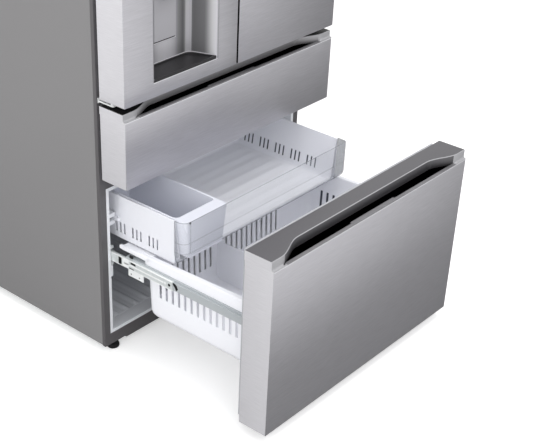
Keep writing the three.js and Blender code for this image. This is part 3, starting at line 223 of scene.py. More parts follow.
def grained(name, colour, roughness, grain_mm, relief, detail, depth_mm, cloud, drift, finish):
    """One colour with bumps about grain_mm apart and depth_mm deep, and a roughness that
    drifts up and down in wide clouds."""
    material, tree = new_tree(name)
    spot = add_node(tree, "ShaderNodeTexCoord")
    grain = add_node(tree, "ShaderNodeTexNoise", None,
                     {"Vector": spot.outputs["Object"], "Scale": 1000.0 / grain_mm, "Detail": detail})
    bump = add_node(tree, "ShaderNodeBump", None,
                    {"Height": grain.outputs["Fac"], "Strength": relief, "Distance": depth_mm / 1000})
    flow = add_node(tree, "ShaderNodeTexNoise", None,
                    {"Vector": spot.outputs["Object"], "Scale": cloud, "Detail": 2.0})
    sheen = add_node(tree, "ShaderNodeMapRange", None,
                     {"Value": flow.outputs["Fac"], "To Min": roughness - drift,
                      "To Max": roughness + drift})
    shader = add_node(tree, "ShaderNodeBsdfPrincipled", None,
                      {"Base Color": linear(colour), "Roughness": sheen.outputs[0],
                       "Normal": bump.outputs[0], **finish})
    output(tree, shader.outputs[0])
    return material


def coated_steel(name, colour, roughness, grain_mm, relief, metallic=0.0):
    """Paint or plating on steel, which flows out into shallow ripples."""
    return grained(name, colour, roughness, grain_mm, relief, 3.0, 0.6, 5.0, 0.05,
                   {"Metallic": metallic})


# Textured polyester powder coat: dull, with a fine pebble that breaks up reflections.
case_paint = coated_steel("powder_coated_steel", "#828182", 0.5, 3.5, 0.35)
# Smooth dark grey baked enamel on the front frame.
frame_enamel = coated_steel("baked_grey_enamel", "#5A585A", 0.45, 6.0, 0.1)
# Galvanised sheet with a thin grey wash coat, on the faces that are turned to the wall.
rear_coat = coated_steel("wash_coated_galvanised_sheet", "#8A8B8C", 0.6, 8.0, 0.15, 0.4)
dress(case_paint, "cabinet_body")
dress(frame_enamel, "front_frame")
dress(rear_coat, "rear_panel")

# ------------------------------------------------------------------ plated hardware
# Hinges, slides, the fan bracket and the bottom pan are pressed from zinc-plated
# steel, which looks pale, a little blue and softly mottled.

zinc_plate, tree = new_tree("zinc_plated_steel")
spot = add_node(tree, "ShaderNodeTexCoord")
spangle = add_node(tree, "ShaderNodeTexNoise", None,
                   {"Vector": spot.outputs["Object"], "Scale": 1000.0 / 9.0, "Detail": 4.0})
tone = add_node(tree, "ShaderNodeMix", {"data_type": "RGBA"},
                {"Factor": spangle.outputs["Fac"], "A": linear("#CDD3D3"), "B": linear("#E6EAEA")})
gloss = add_node(tree, "ShaderNodeMapRange", None,
                 {"Value": spangle.outputs["Fac"], "To Min": 0.24, "To Max": 0.42})
shader = add_node(tree, "ShaderNodeBsdfPrincipled", None,
                  {"Base Color": tone.outputs["Result"], "Metallic": 0.3, "Roughness": gloss.outputs[0]})
output(tree, shader.outputs[0])
dress(zinc_plate, "base_pan", "fan_motor", "left_top_hinge", "right_top_hinge",
      "left_fixed_slide", "right_fixed_slide", "left_middle_slide", "right_middle_slide",
      "left_slide_member", "right_slide_member")
# A lighter copy of the zinc plate, a painted highlight on the middle hinges and on the slides' rolls,
# rib, rivet, latch and plates.
zinc_highlight = coated_steel("zinc_plate_painted_highlight", "#EFF1F1", 0.35, 5.0, 0.05, 0.1)
dress(zinc_highlight, "left_middle_hinge", "right_middle_hinge")
# The drawer's own tracks are the same zinc, painted darker as the shade under the basket's ledge.
zinc_shade = coated_steel("zinc_track_painted_shade", "#BCC1C4", 0.35, 5.0, 0.05, 0.25)
dress(zinc_shade, "left_drawer_runner", "right_drawer_runner")

# ------------------------------------------------------------------ black mouldings
# Feet, rollers, fan wheel and the machine compartment's grille are injection moulded
# in black polypropylene; the compressor is a drawn can in black enamel.


def moulded(name, colour, roughness, grain_mm=1.2, relief=0.1, coat=0.0):
    """Injection-moulded plastic, with the fine grain of a blasted mould."""
    return grained(name, colour, roughness, grain_mm, relief, 2.0, 0.3, 9.0, 0.06,
                   {"Coat Weight": coat, "Coat Roughness": 0.2})


# The grain takes the shine off the black and leaves a soft grey sheen.
black_moulding = moulded("black_polypropylene", "#19191A", 0.42)
# Enamel baked on a drawn can is glossier, over a faint orange peel.
compressor_enamel = moulded("black_stoving_enamel", "#121213", 0.3, 4.0, 0.05)
dress(black_moulding, "left_foot", "right_foot", "left_roller", "right_roller", "condenser_fan",
      "machine_cover")
dress(compressor_enamel, "compressor")

# ------------------------------------------------------------------ liners
# Each compartment is lined with a thin white polystyrene sheet, vacuum formed, which
# gives soft corners and a satin skin. The freezer's air cover is grey.

liner_skin = moulded("vacuum_formed_polystyrene", "#E6E8EC", 0.38, 3.0, 0.06)
air_cover = moulded("grey_abs", "#7B7E86", 0.45)
dress(liner_skin, "fridge_liner", "middle_liner", "freezer_liner", "left_door_liner",
      "right_door_liner")
dress(air_cover, "evaporator_cover", "mullion_flap")

# ------------------------------------------------------------------ shelves and bins
# Toughened glass shelves in white frames, and crispers and bins moulded in clear
# polystyrene, which is nearly invisible face on and white along its edges.

# Float glass, tempered: clear, with a green cast from the iron in it.
shelf_glass, tree = new_tree("toughened_glass")
shader = add_node(tree, "ShaderNodeBsdfPrincipled", None,
                  {"Base Color": linear("#D4E4DF"), "Roughness": 0.04, "IOR": 1.52,
                   "Transmission Weight": 0.85, "Alpha": 0.75})
output(tree, shader.outputs[0])


def clear_plastic(name, colour, rim_colour, face_on, edge_on):
    """Clear plastic as thin sheet: from face on to edge on it gets denser and takes on
    the rim colour."""
    material, tree = new_tree(name)
    rim_light = add_node(tree, "ShaderNodeLayerWeight", None, {"Blend": 0.35})
    haze = add_node(tree, "ShaderNodeMapRange", None,
                    {"Value": rim_light.outputs["Facing"], "To Min": face_on, "To Max": edge_on})
    tone = add_node(tree, "ShaderNodeMix", {"data_type": "RGBA"},
                    {"Factor": rim_light.outputs["Facing"], "A": linear(colour),
                     "B": linear(rim_colour)})
    shader = add_node(tree, "ShaderNodeBsdfPrincipled", None,
                      {"Base Color": tone.outputs["Result"], "Roughness": 0.12, "IOR": 1.59,
                       "Alpha": haze.outputs[0]})
    output(tree, shader.outputs[0])
    return material


clear_moulding = clear_plastic("clear_polystyrene", "#DFE4EA", "#A9AFB6", 0.30, 0.75)
dress(shelf_glass, "left_shelf", "right_shelf", "crisper_shelf")
dress(clear_moulding, "left_crisper", "right_crisper", "left_door_bin_1", "left_door_bin_2",
      "right_door_bin_1", "right_door_bin_2", "middle_drawer_bin")

# ------------------------------------------------------------------ gaskets
# Soft extruded PVC bellows with a magnet strip inside, light grey, pushed into a groove
# round each door and drawer.

gasket_pvc = moulded("extruded_soft_pvc", "#B4B5B9", 0.6, 2.0, 0.05)
dress(gasket_pvc, "left_door_gasket", "right_door_gasket", "middle_gasket", "freezer_gasket")

# ------------------------------------------------------------------ hinge covers
# Snap-on covers over the top hinges, moulded in dark grey ABS.

cover_moulding = moulded("dark_grey_abs", "#5C5B5D", 0.45)
dress(cover_moulding, "left_hinge_cover", "right_hinge_cover")

# ------------------------------------------------------------------ steel fronts
# Each front is a stainless sheet, brushed along its width, wrapped round the sides of
# the foam core with a small bend radius. A clear coat keeps it wipeable.

panel_depth = 98.0
bend_radius = 2.0
bend_steps = 4
cap_seat = 0.3
recess_hole = (-346.0, -84.0, 886.5, 1229.5)


def measure(node):
    """A CAD node's left, right, front, rear, bottom and top in millimetres, to a tenth."""
    low, high = (np.array(corner) * 1000 - (0, front_plane, 0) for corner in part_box(node))
    return np.round(np.stack([low, high], 1).ravel(), 1).tolist()


def ring_grid(levels, x_stops=(), y_stops=(), steps=6, open_side=None):
    """Rounded rectangles stacked into a grid of points, in millimetres. A level gives
    left, right, front, rear, height and corner radius. Seen from above a ring runs
    front, right, rear, left, and the stops are places along the sides where every
    level gets a point. An open side leaves out its two corners."""
    arc = np.linspace(0, np.pi / 2, steps)
    across, along = np.asarray(x_stops, float), np.asarray(y_stops, float)
    grid = []
    for x0, x1, y0, y1, z, radius in levels:
        corners = []
        for quarter, cx, cy in [(2, x0 + radius, y0 + radius), (3, x1 - radius, y0 + radius),
                                (0, x1 - radius, y1 - radius), (1, x0 + radius, y1 - radius)]:
            angle = quarter * np.pi / 2 + arc
            corners.append(np.stack([cx + radius * np.cos(angle), cy + radius * np.sin(angle)], -1))
        front = np.stack([across, np.full(across.size, y0)], -1)
        rear = np.stack([across[::-1], np.full(across.size, y1)], -1)
        right = np.stack([np.full(along.size, x1), along], -1)
        left = np.stack([np.full(along.size, x0), along[::-1]], -1)
        ring = [corners[0], front, corners[1], right, corners[2], rear, corners[3], left]
        if open_side == "front":
            ring = [[[x1, y0]], right, corners[2], rear, corners[3], left, [[x0, y0]]]
        if open_side == "rear":
            ring = [[[x0, y1]], left, corners[0], front, corners[1], right, [[x1, y1]]]
        flat = np.concatenate(ring)
        grid.append(np.column_stack([flat, np.full(len(flat), z)]))
    return np.stack(grid)


def grid_faces(rows, columns, closed=True, keep=None):
    """Quads between neighbouring rows and columns of points, as index quadruples."""
    spans = np.arange(columns if closed else columns - 1)
    i, j = np.meshgrid(np.arange(rows - 1), spans, indexing="ij")
    k = (j + 1) % columns
    low, high = i * columns, (i + 1) * columns
    faces = np.stack([low + j, low + k, high + k, high + j], -1)
    return faces[keep] if keep is not None else faces.reshape(-1, 4)


def shell_faces(rows, columns, low_end=True, flip=False, **options):
    """The quads of a grid with a polygon over its last row, and over its first too."""
    faces = grid_faces(rows, columns, **options).tolist()
    if low_end:
        faces.append(list(range(columns))[::-1])
    faces.append(list(range((rows - 1) * columns, rows * columns)))
    return [face[::-1] for face in faces] if flip else faces


def placed(grid):
    """A grid whose last axis holds millimetres x, y and z, as metres in the frame."""
    return place(*np.moveaxis(grid, -1, 0))


def wrapped_front(name, x0, x1, z0, z1, face, hole=None, full_sides=False):
    """A slab with rounded edges: a rounded rectangle carried up from z0 to z1, drawn
    in by the bend radius along a quarter circle at the bottom and the top. Full sides
    keep their height, and only the front bends over at the top. A hole leaves out the
    front quad inside it."""
    arc = np.linspace(0, np.pi / 2, bend_steps)
    foot = bend_radius * (1 - np.sin(arc))
    crown = bend_radius * (1 - np.cos(arc))
    rear = face + panel_depth - 1.0
    levels = [(x0 + inset, x1 - inset, face + inset, rear, z, bend_radius)
              for inset, z in zip(foot, z0 + crown)]
    levels += [(x0, x1, face, rear, z, bend_radius) for z in (hole[2:] if hole else ())]
    for inset, z in zip(crown, z1 - foot):
        side = 0.0 if full_sides else inset
        levels.append((x0 + side, x1 - side, face + inset, rear, z, bend_radius))
    grid = ring_grid(levels, hole[:2] if hole else (), steps=bend_steps)
    rows, columns = grid.shape[:2]
    keep = np.ones((rows - 1, columns), bool)
    if hole:
        keep[bend_steps, bend_steps] = False
    return mesh_object(name, placed(grid), shell_faces(rows, columns, keep=keep))


def brushed(name, dark, light, metallic, low_gloss, high_gloss):
    """Brushed stainless steel, grade 430, with a thin clear coat. The brush lines run
    along the width; real ones are 0.1 mm wide, too fine to show, so they are drawn
    1.5 mm wide."""
    line_long, line_high = 45.0, 1.5
    material, tree = new_tree(name)
    spot = add_node(tree, "ShaderNodeTexCoord")
    lines = add_node(tree, "ShaderNodeMapping", None,
                     {"Vector": spot.outputs["Object"],
                      "Scale": (1000 / line_long, 1000 / line_long, 1000 / line_high)})
    brush = add_node(tree, "ShaderNodeTexNoise", None,
                     {"Vector": lines.outputs[0], "Scale": 1.0, "Detail": 3.0})
    streak = add_node(tree, "ShaderNodeMapRange", None,
                      {"Value": brush.outputs["Fac"], "From Min": 0.3, "From Max": 0.7})
    tone = add_node(tree, "ShaderNodeMix", {"data_type": "RGBA"},
                    {"Factor": streak.outputs[0], "A": linear(dark), "B": linear(light)})
    gloss = add_node(tree, "ShaderNodeMapRange", None,
                     {"Value": brush.outputs["Fac"], "To Min": low_gloss, "To Max": high_gloss})
    bump = add_node(tree, "ShaderNodeBump", None,
                    {"Height": brush.outputs["Fac"], "Strength": 0.05, "Distance": 0.0003})
    shader = add_node(tree, "ShaderNodeBsdfPrincipled", None,
                      {"Base Color": tone.outputs["Result"], "Metallic": metallic,
                       "Roughness": gloss.outputs[0], "Normal": bump.outputs[0]})
    output(tree, shader.outputs[0])
    return material


# The broad faces show the steel in its own tone.
brushed_steel = brushed("brushed_stainless_steel", "#C3C2C7", "#CFCED3", 0.82, 0.34, 0.44)
# The folded returns, the bends and the caps' ends take a lighter copy of the steel, painted light: the
# light on sides turned to the left soft box and a painted highlight along the bends.
steel_painted_light = brushed("stainless_return_painted_light", "#D2D1D5", "#DCDBDF", 0.35, 0.40, 0.50)
# Where two doors meet, the return is painted black as the shade in the narrow gap.
black_painted_shade = moulded("black_edge_painted_shade", "#0B0B0C", 0.5)

face_tops = {}
for name, node, body, hole, meeting_side in [
    ("left_door_skin", "left_door_panel", "left_door", recess_hole, 1.0),
    ("right_door_skin", "right_door_panel", "right_door", None, -1.0),
    ("middle_front_skin", "middle_drawer_front", "middle_drawer", None, 0.0),
    ("freezer_front_skin", "freezer_drawer_front", "freezer_drawer", None, 0.0),
]:
    left, right, face, _, low, high = measure(node)
    is_drawer = "drawer" in node
    # A drawer's face runs up to the foot of its cap, over the gap between the solids.
    face_tops[body] = high + cap_seat * is_drawer
    skin = wrapped_front(name, left, right, low, face_tops[body], face, hole, is_drawer)
    for finish in (brushed_steel, steel_painted_light, black_painted_shade):
        skin.data.materials.append(finish)
    # Sides and upward bends take the lighter steel as painted light; the side where two doors meet takes
    # black as painted shade.
    for quad in skin.data.polygons:
        if quad.normal.x * meeting_side > 0.8:
            quad.material_index = 2
        else:
            quad.material_index = int(abs(quad.normal.x) > 0.8 or quad.normal.z > 0.25)
    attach(skin, body)
    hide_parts(node)

# ------------------------------------------------------------------ handle caps
# The top of each drawer front is a dark silver moulding with a full-width finger
# pocket. Its rear edge sweeps forward in an S curve at both ends, and a low steel lip
# with a wider tab in the middle stands in front of it.

panel_half = measure("middle_handle_cap")[1]
pocket_end = 417.0
pocket_straight = 303.0
pocket_reach = 43.5
pocket_drop = 19.0
pocket_round = 24.0
cap_setback = 8.0
lip_height = 2.5
lip_front = 0.5
lip_back = 11.5
lip_cove = 6.0
lip_round = 5.0
cap_edge_round = 2.0
lip_fold = 0.8
tab_left, tab_right, tab_depth = -108.0, 92.0, 5.5


def smooth_ramp(value, low, high):
    """Rises from 0 at low to 1 at high with level ends: 3 t squared minus 2 t cubed."""
    t = np.clip((np.asarray(value, float) - low) / (high - low), 0, 1)
    return t * t * (3 - 2 * t)


def pocket_edge(x):
    """Distance of the pocket's rear edge behind the face: a smooth ramp from 8 at the
    pocket's end to its full reach where the edge runs straight."""
    sweep_in = smooth_ramp(-np.abs(x), -pocket_end, -pocket_straight)
    return cap_setback + (pocket_reach - cap_setback) * sweep_in


def bowl(y, floor_z):
    """Height of the trough at depth y: flat, with a small quarter circle up to the lip
    and a wide one up the rear wall."""
    rear = np.clip(y - (pocket_reach - pocket_round), 0, pocket_round)
    front = np.clip(lip_back + lip_round - y, 0, lip_round)
    return (floor_z + pocket_round - np.sqrt(pocket_round**2 - rear**2)
            + lip_round - np.sqrt(lip_round**2 - front**2))


def handle_cap(name, face_top, cap_top, offset):
    """Sections in y and z, carried along the width. A section runs from the rear over
    the top plane, round the pocket's edge, down the wall and through the trough, up
    behind the lip and over it to the face. Past the pocket's ends the wall meets the
    lip in a concave quarter circle instead."""
    curve = np.linspace(pocket_straight - 8, pocket_end + 4, 34)
    x = np.unique(np.concatenate([
        np.linspace(-panel_half, -pocket_end - 4, 3), -curve, np.linspace(-280, 280, 9),
        [tab_left - 3, tab_left, tab_right, tab_right + 3], curve,
        np.linspace(pocket_end + 4, panel_half, 3)]))
    lip_top = face_top + lip_height
    floor_z = lip_top - pocket_drop
    edge = pocket_edge(x)
    ones = np.ones(x.size)
    pocket = smooth_ramp(edge, cap_setback + 0.3, lip_back + 1.0)
    turn = np.linspace(0, np.pi / 2, 5)
    y_parts = [panel_depth * ones[None], panel_depth * ones[None]]
    z_parts = [face_top * ones[None], cap_top * ones[None]]
    y_parts.append(edge + cap_edge_round * (1 - np.sin(turn))[:, None])
    z_parts.append((cap_top - cap_edge_round * (1 - np.cos(turn)))[:, None] * ones)
    share = np.linspace(0, 1, 14)[:, None]
    inner = np.maximum(edge, lip_back + 0.2)
    trough_y = inner + (lip_back - inner) * (1 - np.cos(share * np.pi / 2))
    trough_z = bowl(trough_y, floor_z)
    arc = share * np.pi / 2
    cove_y = edge - lip_cove * (1 - np.cos(arc))
    cove_z = lip_top + lip_cove * (1 - np.sin(arc))
    y_parts.append(pocket * trough_y + (1 - pocket) * cove_y)
    z_parts.append(pocket * trough_z + (1 - pocket) * cove_z)
    tab = np.where((x >= tab_left) & (x <= tab_right), tab_depth, 0.0)
    back = lip_back + tab
    end_y, end_z = edge - lip_cove, lip_top * ones
    for ledge_y, ledge_z in [(lip_back * ones, lip_top - lip_round), (back, lip_top - lip_round),
                             (back, lip_top - lip_fold), (back - lip_fold, lip_top)]:
        y_parts.append((pocket * ledge_y + (1 - pocket) * end_y)[None])
        z_parts.append((pocket * ledge_z + (1 - pocket) * end_z)[None])
    y_parts.append(np.stack([(lip_front + lip_fold) * ones, lip_front * ones, lip_front * ones]))
    z_parts.append(np.stack([lip_top * ones, (lip_top - lip_fold) * ones, face_top * ones]))
    y, z = np.concatenate(y_parts), np.concatenate(z_parts)
    points = place(x[:, None], (y + offset).T, z.T)
    rows, columns = points.shape[:2]
    cap = mesh_object(name, points, shell_faces(rows, columns, flip=True), 28.0)
    # A section's parts run from 0, the rear wall, and 1, the top plane, over the round
    # edge, the pocket's wall and the lip to the underside. The cap's two ends count -1.
    round_part, wall_part, lip_part = 2, 6, columns - 6
    section_of, part_of = np.divmod(np.arange(len(cap.data.polygons)), columns)
    part_of[(rows - 1) * columns :] = -1
    outside = np.append((pocket[:-1] + pocket[1:]) / 2 < 0.5, [False, False])
    finish = np.where(part_of >= lip_part, 3, 0)
    finish[(part_of >= round_part) & (part_of < wall_part)] = 1
    finish[(part_of >= wall_part) & outside[np.minimum(section_of, rows)]] = 4
    finish[part_of == 1] = 5
    finish[part_of == columns - 1] = 0
    finish[part_of == -1] = 2
    cap.data.polygons.foreach_set("material_index", finish.astype(np.int32))
    return cap


def cap_finish(name, cap_top, lip_top, low_paint, high_paint):
    """Silver paint on ABS, its metal flakes between two tones. Down in the pocket it fades to near
    black, a painted shade for the dark of the recess."""
    material, tree = new_tree(name)
    spot = add_node(tree, "ShaderNodeTexCoord")
    height = add_node(tree, "ShaderNodeSeparateXYZ", None, {"Vector": spot.outputs["Object"]})
    depth = add_node(tree, "ShaderNodeMapRange", {"interpolation_type": "SMOOTHSTEP"},
                     {"Value": height.outputs["Z"], "From Min": (lip_top - 15) / 1000,
                      "From Max": (cap_top + 1) / 1000})
    flake = add_node(tree, "ShaderNodeTexNoise", None,
                     {"Vector": spot.outputs["Object"], "Scale": 1000 / 1.5, "Detail": 3.0})
    silver = add_node(tree, "ShaderNodeMix", {"data_type": "RGBA"},
                      {"Factor": flake.outputs["Fac"], "A": linear(low_paint),
                       "B": linear(high_paint)})
    # The fade to near black is painted shade in the pocket.
    tone = add_node(tree, "ShaderNodeMix", {"data_type": "RGBA"},
                    {"Factor": depth.outputs[0], "A": linear("#08080A"),
                     "B": silver.outputs["Result"]})
    shader = add_node(tree, "ShaderNodeBsdfPrincipled", None,
                      {"Base Color": tone.outputs["Result"], "Metallic": 0.3, "Roughness": 0.45})
    output(tree, shader.outputs[0])
    return material


# The low lip is a folded strip of the front's own steel, in a darker copy: painted shade on its upturned
# top.
lip_steel_shaded = brushed("brushed_steel_lip_painted_shade", "#757477", "#818083", 0.4, 0.36, 0.48)
# The moulding's ends in front of the S curve take a lighter copy of the silver, painted light on the
# coves that face the lamps.
end_silver_lit = coated_steel("silver_paint_painted_light", "#A7A7AA", 0.4, 4.0, 0.0, 0.3)
# A light line along the pocket's edge is a painted highlight.
edge_highlight = coated_steel("silver_edge_painted_highlight", "#ACACAF", 0.35, 4.0, 0.0, 0.5)
for name, node, body, tones in [
    # The middle cap's tones are lighter than the freezer cap's: painted light that lifts its pocket out
    # of the shade under the doors.
    ("middle_cap", "middle_handle_cap", "middle_drawer", ("#A3A2A5", "#B1B0B3")),
    ("freezer_cap", "freezer_handle_cap", "freezer_drawer", ("#59585B", "#656467")),
]:
    _, _, face, _, _, cap_top = measure(node)
    cap = handle_cap(name, face_tops[body], cap_top, face)
    lip_top = face_tops[body] + lip_height
    paint = cap_finish(name + "_silver_paint", cap_top, lip_top, *tones)
    # The middle cap's top lies under the doors and is painted black as their shade.
    top = black_painted_shade if node == "middle_handle_cap" else paint
    for finish in (paint, edge_highlight, steel_painted_light, lip_steel_shaded, end_silver_lit, top):
        cap.data.materials.append(finish)
    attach(cap, body)
    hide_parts(node)

# ------------------------------------------------------------------ dispenser
# A recess moulded in ABS and metallised, set into the left door. Its sides close in
# towards rounded rear corners, and a dark drip dish lies on its floor.

hole_left, hole_right, hole_low, hole_high = recess_hole
recess_left, recess_right = hole_left + 2.0, hole_right - 1.5
recess_floor, recess_top = hole_low + 1.5, hole_high - 1.5
recess_depth, recess_taper, recess_round = 84.0, 33.0, 24.0
wall_run = 182.0
# Silver lacquer on the moulding round the recess and on its back.
recess_silver = coated_steel("silver_painted_abs", "#ADACB1", 0.35, 4.0, 0.0, 0.2)
# Dull dark plastic that hides water spots.
dish_moulding = moulded("dark_grey_polypropylene", "#232224", 0.5)
dress(recess_silver, "dispenser_housing")
dress(dish_moulding, "dispenser_tray", "dispenser_paddle")


def thicken(piece, thickness, rim_slot=0):
    """Gives a sheet its wall thickness, added behind its outer face."""
    solid = piece.modifiers.new("wall", "SOLIDIFY")
    solid.thickness = thickness / 1000
    solid.offset = -1.0
    solid.use_even_offset = True
    solid.material_offset_rim = rim_slot
    return piece


def recess_path(inset):
    """Half of the recess's plan from the middle of its back to the right-hand edge: a
    straight back, an arc through the side's angle, and the straight tapered side. The
    inset moves it inwards. Also gives each point's distance along the way."""
    slope = np.arctan2(recess_depth + 1, recess_taper)
    turn = np.linspace(0, slope, 13)
    reach = recess_round * np.tan(slope / 2)
    middle = (recess_left + recess_right) / 2
    corner = recess_right - recess_taper
    radius = recess_round - inset
    x = corner - reach + radius * np.sin(turn)
    y = recess_depth - recess_round + radius * np.cos(turn)
    front = recess_right - recess_taper * 1.6 / (recess_depth + 1) - inset
    path = np.concatenate([[[middle, recess_depth - inset]], np.stack([x, y], -1),
                           np.linspace([x[-1], y[-1]], [front, 0.9], 12)[1:]])
    steps = np.hypot(*np.diff(path, axis=0).T)
    return path, np.concatenate([[0.0], np.cumsum(steps)])


def recess_band(name, inset, z0, z1):
    """The whole plan, mirrored about its middle, carried up from z0 to z1, with each
    point's distance from the middle kept as an attribute."""
    path, run = recess_path(inset)
    mirrored = path[:0:-1] * [-1, 1] + [recess_left + recess_right, 0]
    plan = np.concatenate([mirrored, path])
    run = np.concatenate([run[:0:-1], run])
    points = np.stack([place(plan[:, 0], plan[:, 1], z) for z in (z0, z1)])
    band = mesh_object(name, points, grid_faces(2, len(plan), closed=False)[:, ::-1], 60.0)
    along = band.data.attributes.new("along_wall", "FLOAT", "POINT")
    along.data.foreach_set("value", np.tile(run, 2).astype(np.float32))
    return thicken(band, 0.3)


def solid(name, outline, low, high, bevel=0.0, along="y"):
    """An outline carried from low to high and capped. It lies in x and z and runs along
    y, or it lies in y and z and runs along x. The sign of its area tells which way round
    it goes, and so which way its faces turn."""
    across, up = np.asarray(outline, float).T
    ends = [place(across, end, up) if along == "y" else place(end, across, up) for end in (low, high)]
    area = np.sum(across * np.roll(up, -1) - np.roll(across, -1) * up)
    outward = (high < low) if along == "y" else (high > low)
    faces = shell_faces(2, len(across), flip=(area > 0) != outward)
    piece = mesh_object(name, np.concatenate(ends), faces)
    if bevel:
        edge = piece.modifiers.new("edge_round", "BEVEL")
        edge.width = bevel / 1000
        edge.segments = 2
        edge.limit_method = "ANGLE"
    return piece


def box_outline(x0, x1, z0, z1):
    """The four corners of a rectangle in x and z."""
    return [(x0, z0), (x1, z0), (x1, z1), (x0, z1)]


# Vacuum-metallised ABS under a satin lacquer. Its reflections are painted in as upright bands of painted
# reflection that darken towards each rear corner, flash along it and brighten again to the door's face.
metallised, tree = new_tree("metallised_abs_painted_reflections")
along = add_node(tree, "ShaderNodeAttribute", {"attribute_name": "along_wall"})
share = add_node(tree, "ShaderNodeMapRange", None,
                 {"Value": along.outputs["Fac"], "From Max": wall_run})
bands = add_node(tree, "ShaderNodeValToRGB", None, {"Fac": share.outputs[0]})
# Tones of the painted reflections by the distance from the back's middle, in millimetres along the wall.
tones = [(0, "#BCBBC0"), (23, "#B7B6BB"), (38, "#A8A7AC"), (46, "#939297"), (54, "#7D7D7F"),
         (63, "#6F6F71"), (71, "#5D5D5F"), (78, "#707072"), (85, "#B0B0B2"), (92, "#C7C7C9"),
         (98, "#737375"), (107, "#6E6E70"), (140, "#757577"), (146, "#8A8A8C"), (152, "#A5A5A7"),
         (158, "#BDBDBF"), (164, "#CDCDCF"), (176, "#DAD9DE"), (181, "#AAA9AE")]
stops = bands.color_ramp.elements
for run, tone in tones[1:-1]:
    stops.new(run / wall_run)
for stop, (run, tone) in zip(stops, tones):
    stop.position = run / wall_run
    stop.color = linear(tone)
shader = add_node(tree, "ShaderNodeBsdfPrincipled", None,
                  {"Base Color": bands.outputs["Color"], "Metallic": 0.15, "Roughness": 0.38})
output(tree, shader.outputs[0])

# The shadow line under the splash pad is painted: a dull black strip as a painted shadow.
shadow_line_black = moulded("black_painted_shadow_line", "#1C1C1E", 0.6)
# Beads along the recess are bright silver, a painted highlight.
bead_highlight = coated_steel("silver_bead_painted_highlight", "#DCDBE0", 0.35, 4.0, 0.0, 0.2)
pad_rear = 83.4
for part, finish in [
    (recess_band("recess_walls", 1.3, recess_floor + 1.0, recess_top - 0.5), metallised),
    (recess_band("recess_floor_bead", 2.0, 897.2, 899.6), bead_highlight),
    # The splash pad on the recess's back ends in a painted shadow line over a bead in painted highlight.
    (solid("splash_pad_shadow_line", box_outline(-258.5, -176.0, 955.6, 958.4), 80.4, pad_rear, 0.4),
     shadow_line_black),
    (solid("splash_pad_bead", box_outline(-258.5, -172.0, 953.0, 955.6), 81.6, pad_rear, 0.5),
     bead_highlight),
    (solid("recess_front_bead", box_outline(recess_left, recess_right, 886.7, 888.9), 0.2, 2.0, 0.6),
     bead_highlight),
]:
    part.data.materials.append(finish)
    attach(part, "left_door")

# ------------------------------------------------------------------ slide hardware
# The drawer's slides are roll-formed zinc steel. Rolled edges stiffen the members,
# and black acetal stops and a catch damp and hold the drawer.

member_front, roll_rear = -134.8, 110.0
member_face = 413.8
middle_height = 337.0
catch_outline = [(-129.0, 349.3), (-141.0, 349.3), (-150.0, 344.0), (-154.5, 334.0), (-147.0, 326.0),
                 (-143.0, 335.0), (-136.0, 342.0)]
# Acetal is waxy and black, with a dull shine.
black_acetal = moulded("black_acetal", "#0E0E10", 0.35, 1.0, 0.05)


def side_box(name, sign, low, high, y0, y1, z0, z1, bevel):
    """A rounded block between two distances from the middle, on one side."""
    return solid(name, box_outline(sign * low, sign * high, z0, z1), y0, y1, bevel)


def round_rings(along, across, height, rings, sides):
    """Circles round a line along x or y. Each ring gives its place on the line and its
    radius."""
    turn = np.linspace(0, 2 * np.pi, sides, endpoint=False)
    spots, radii = np.array(rings, float).T[:, :, None]
    side, up = across + radii * np.cos(turn), height + radii * np.sin(turn)
    return place(spots, side, up) if along == "x" else place(side, spots, up)


def rivet(name, sign, low, high, y, z, radius, sides=20):
    """A short round head with a chamfered rim, between two distances from the middle."""
    chamfer = 0.3 * (high - low)
    rings = [(sign * low, radius), (sign * (high - chamfer), radius), (sign * high, radius - chamfer)]
    return mesh_object(name, round_rings("x", y, z, rings, sides), shell_faces(3, sides, flip=sign < 0))


def member_box(part, sign, low, y0, y1, z0, z1, bevel):
    """A block on the outer face of a middle member."""
    side = "left" if sign < 0 else "right"
    return side_box(f"{side}_member_{part}", sign, low, member_face, y0, y1, z0, z1, bevel)


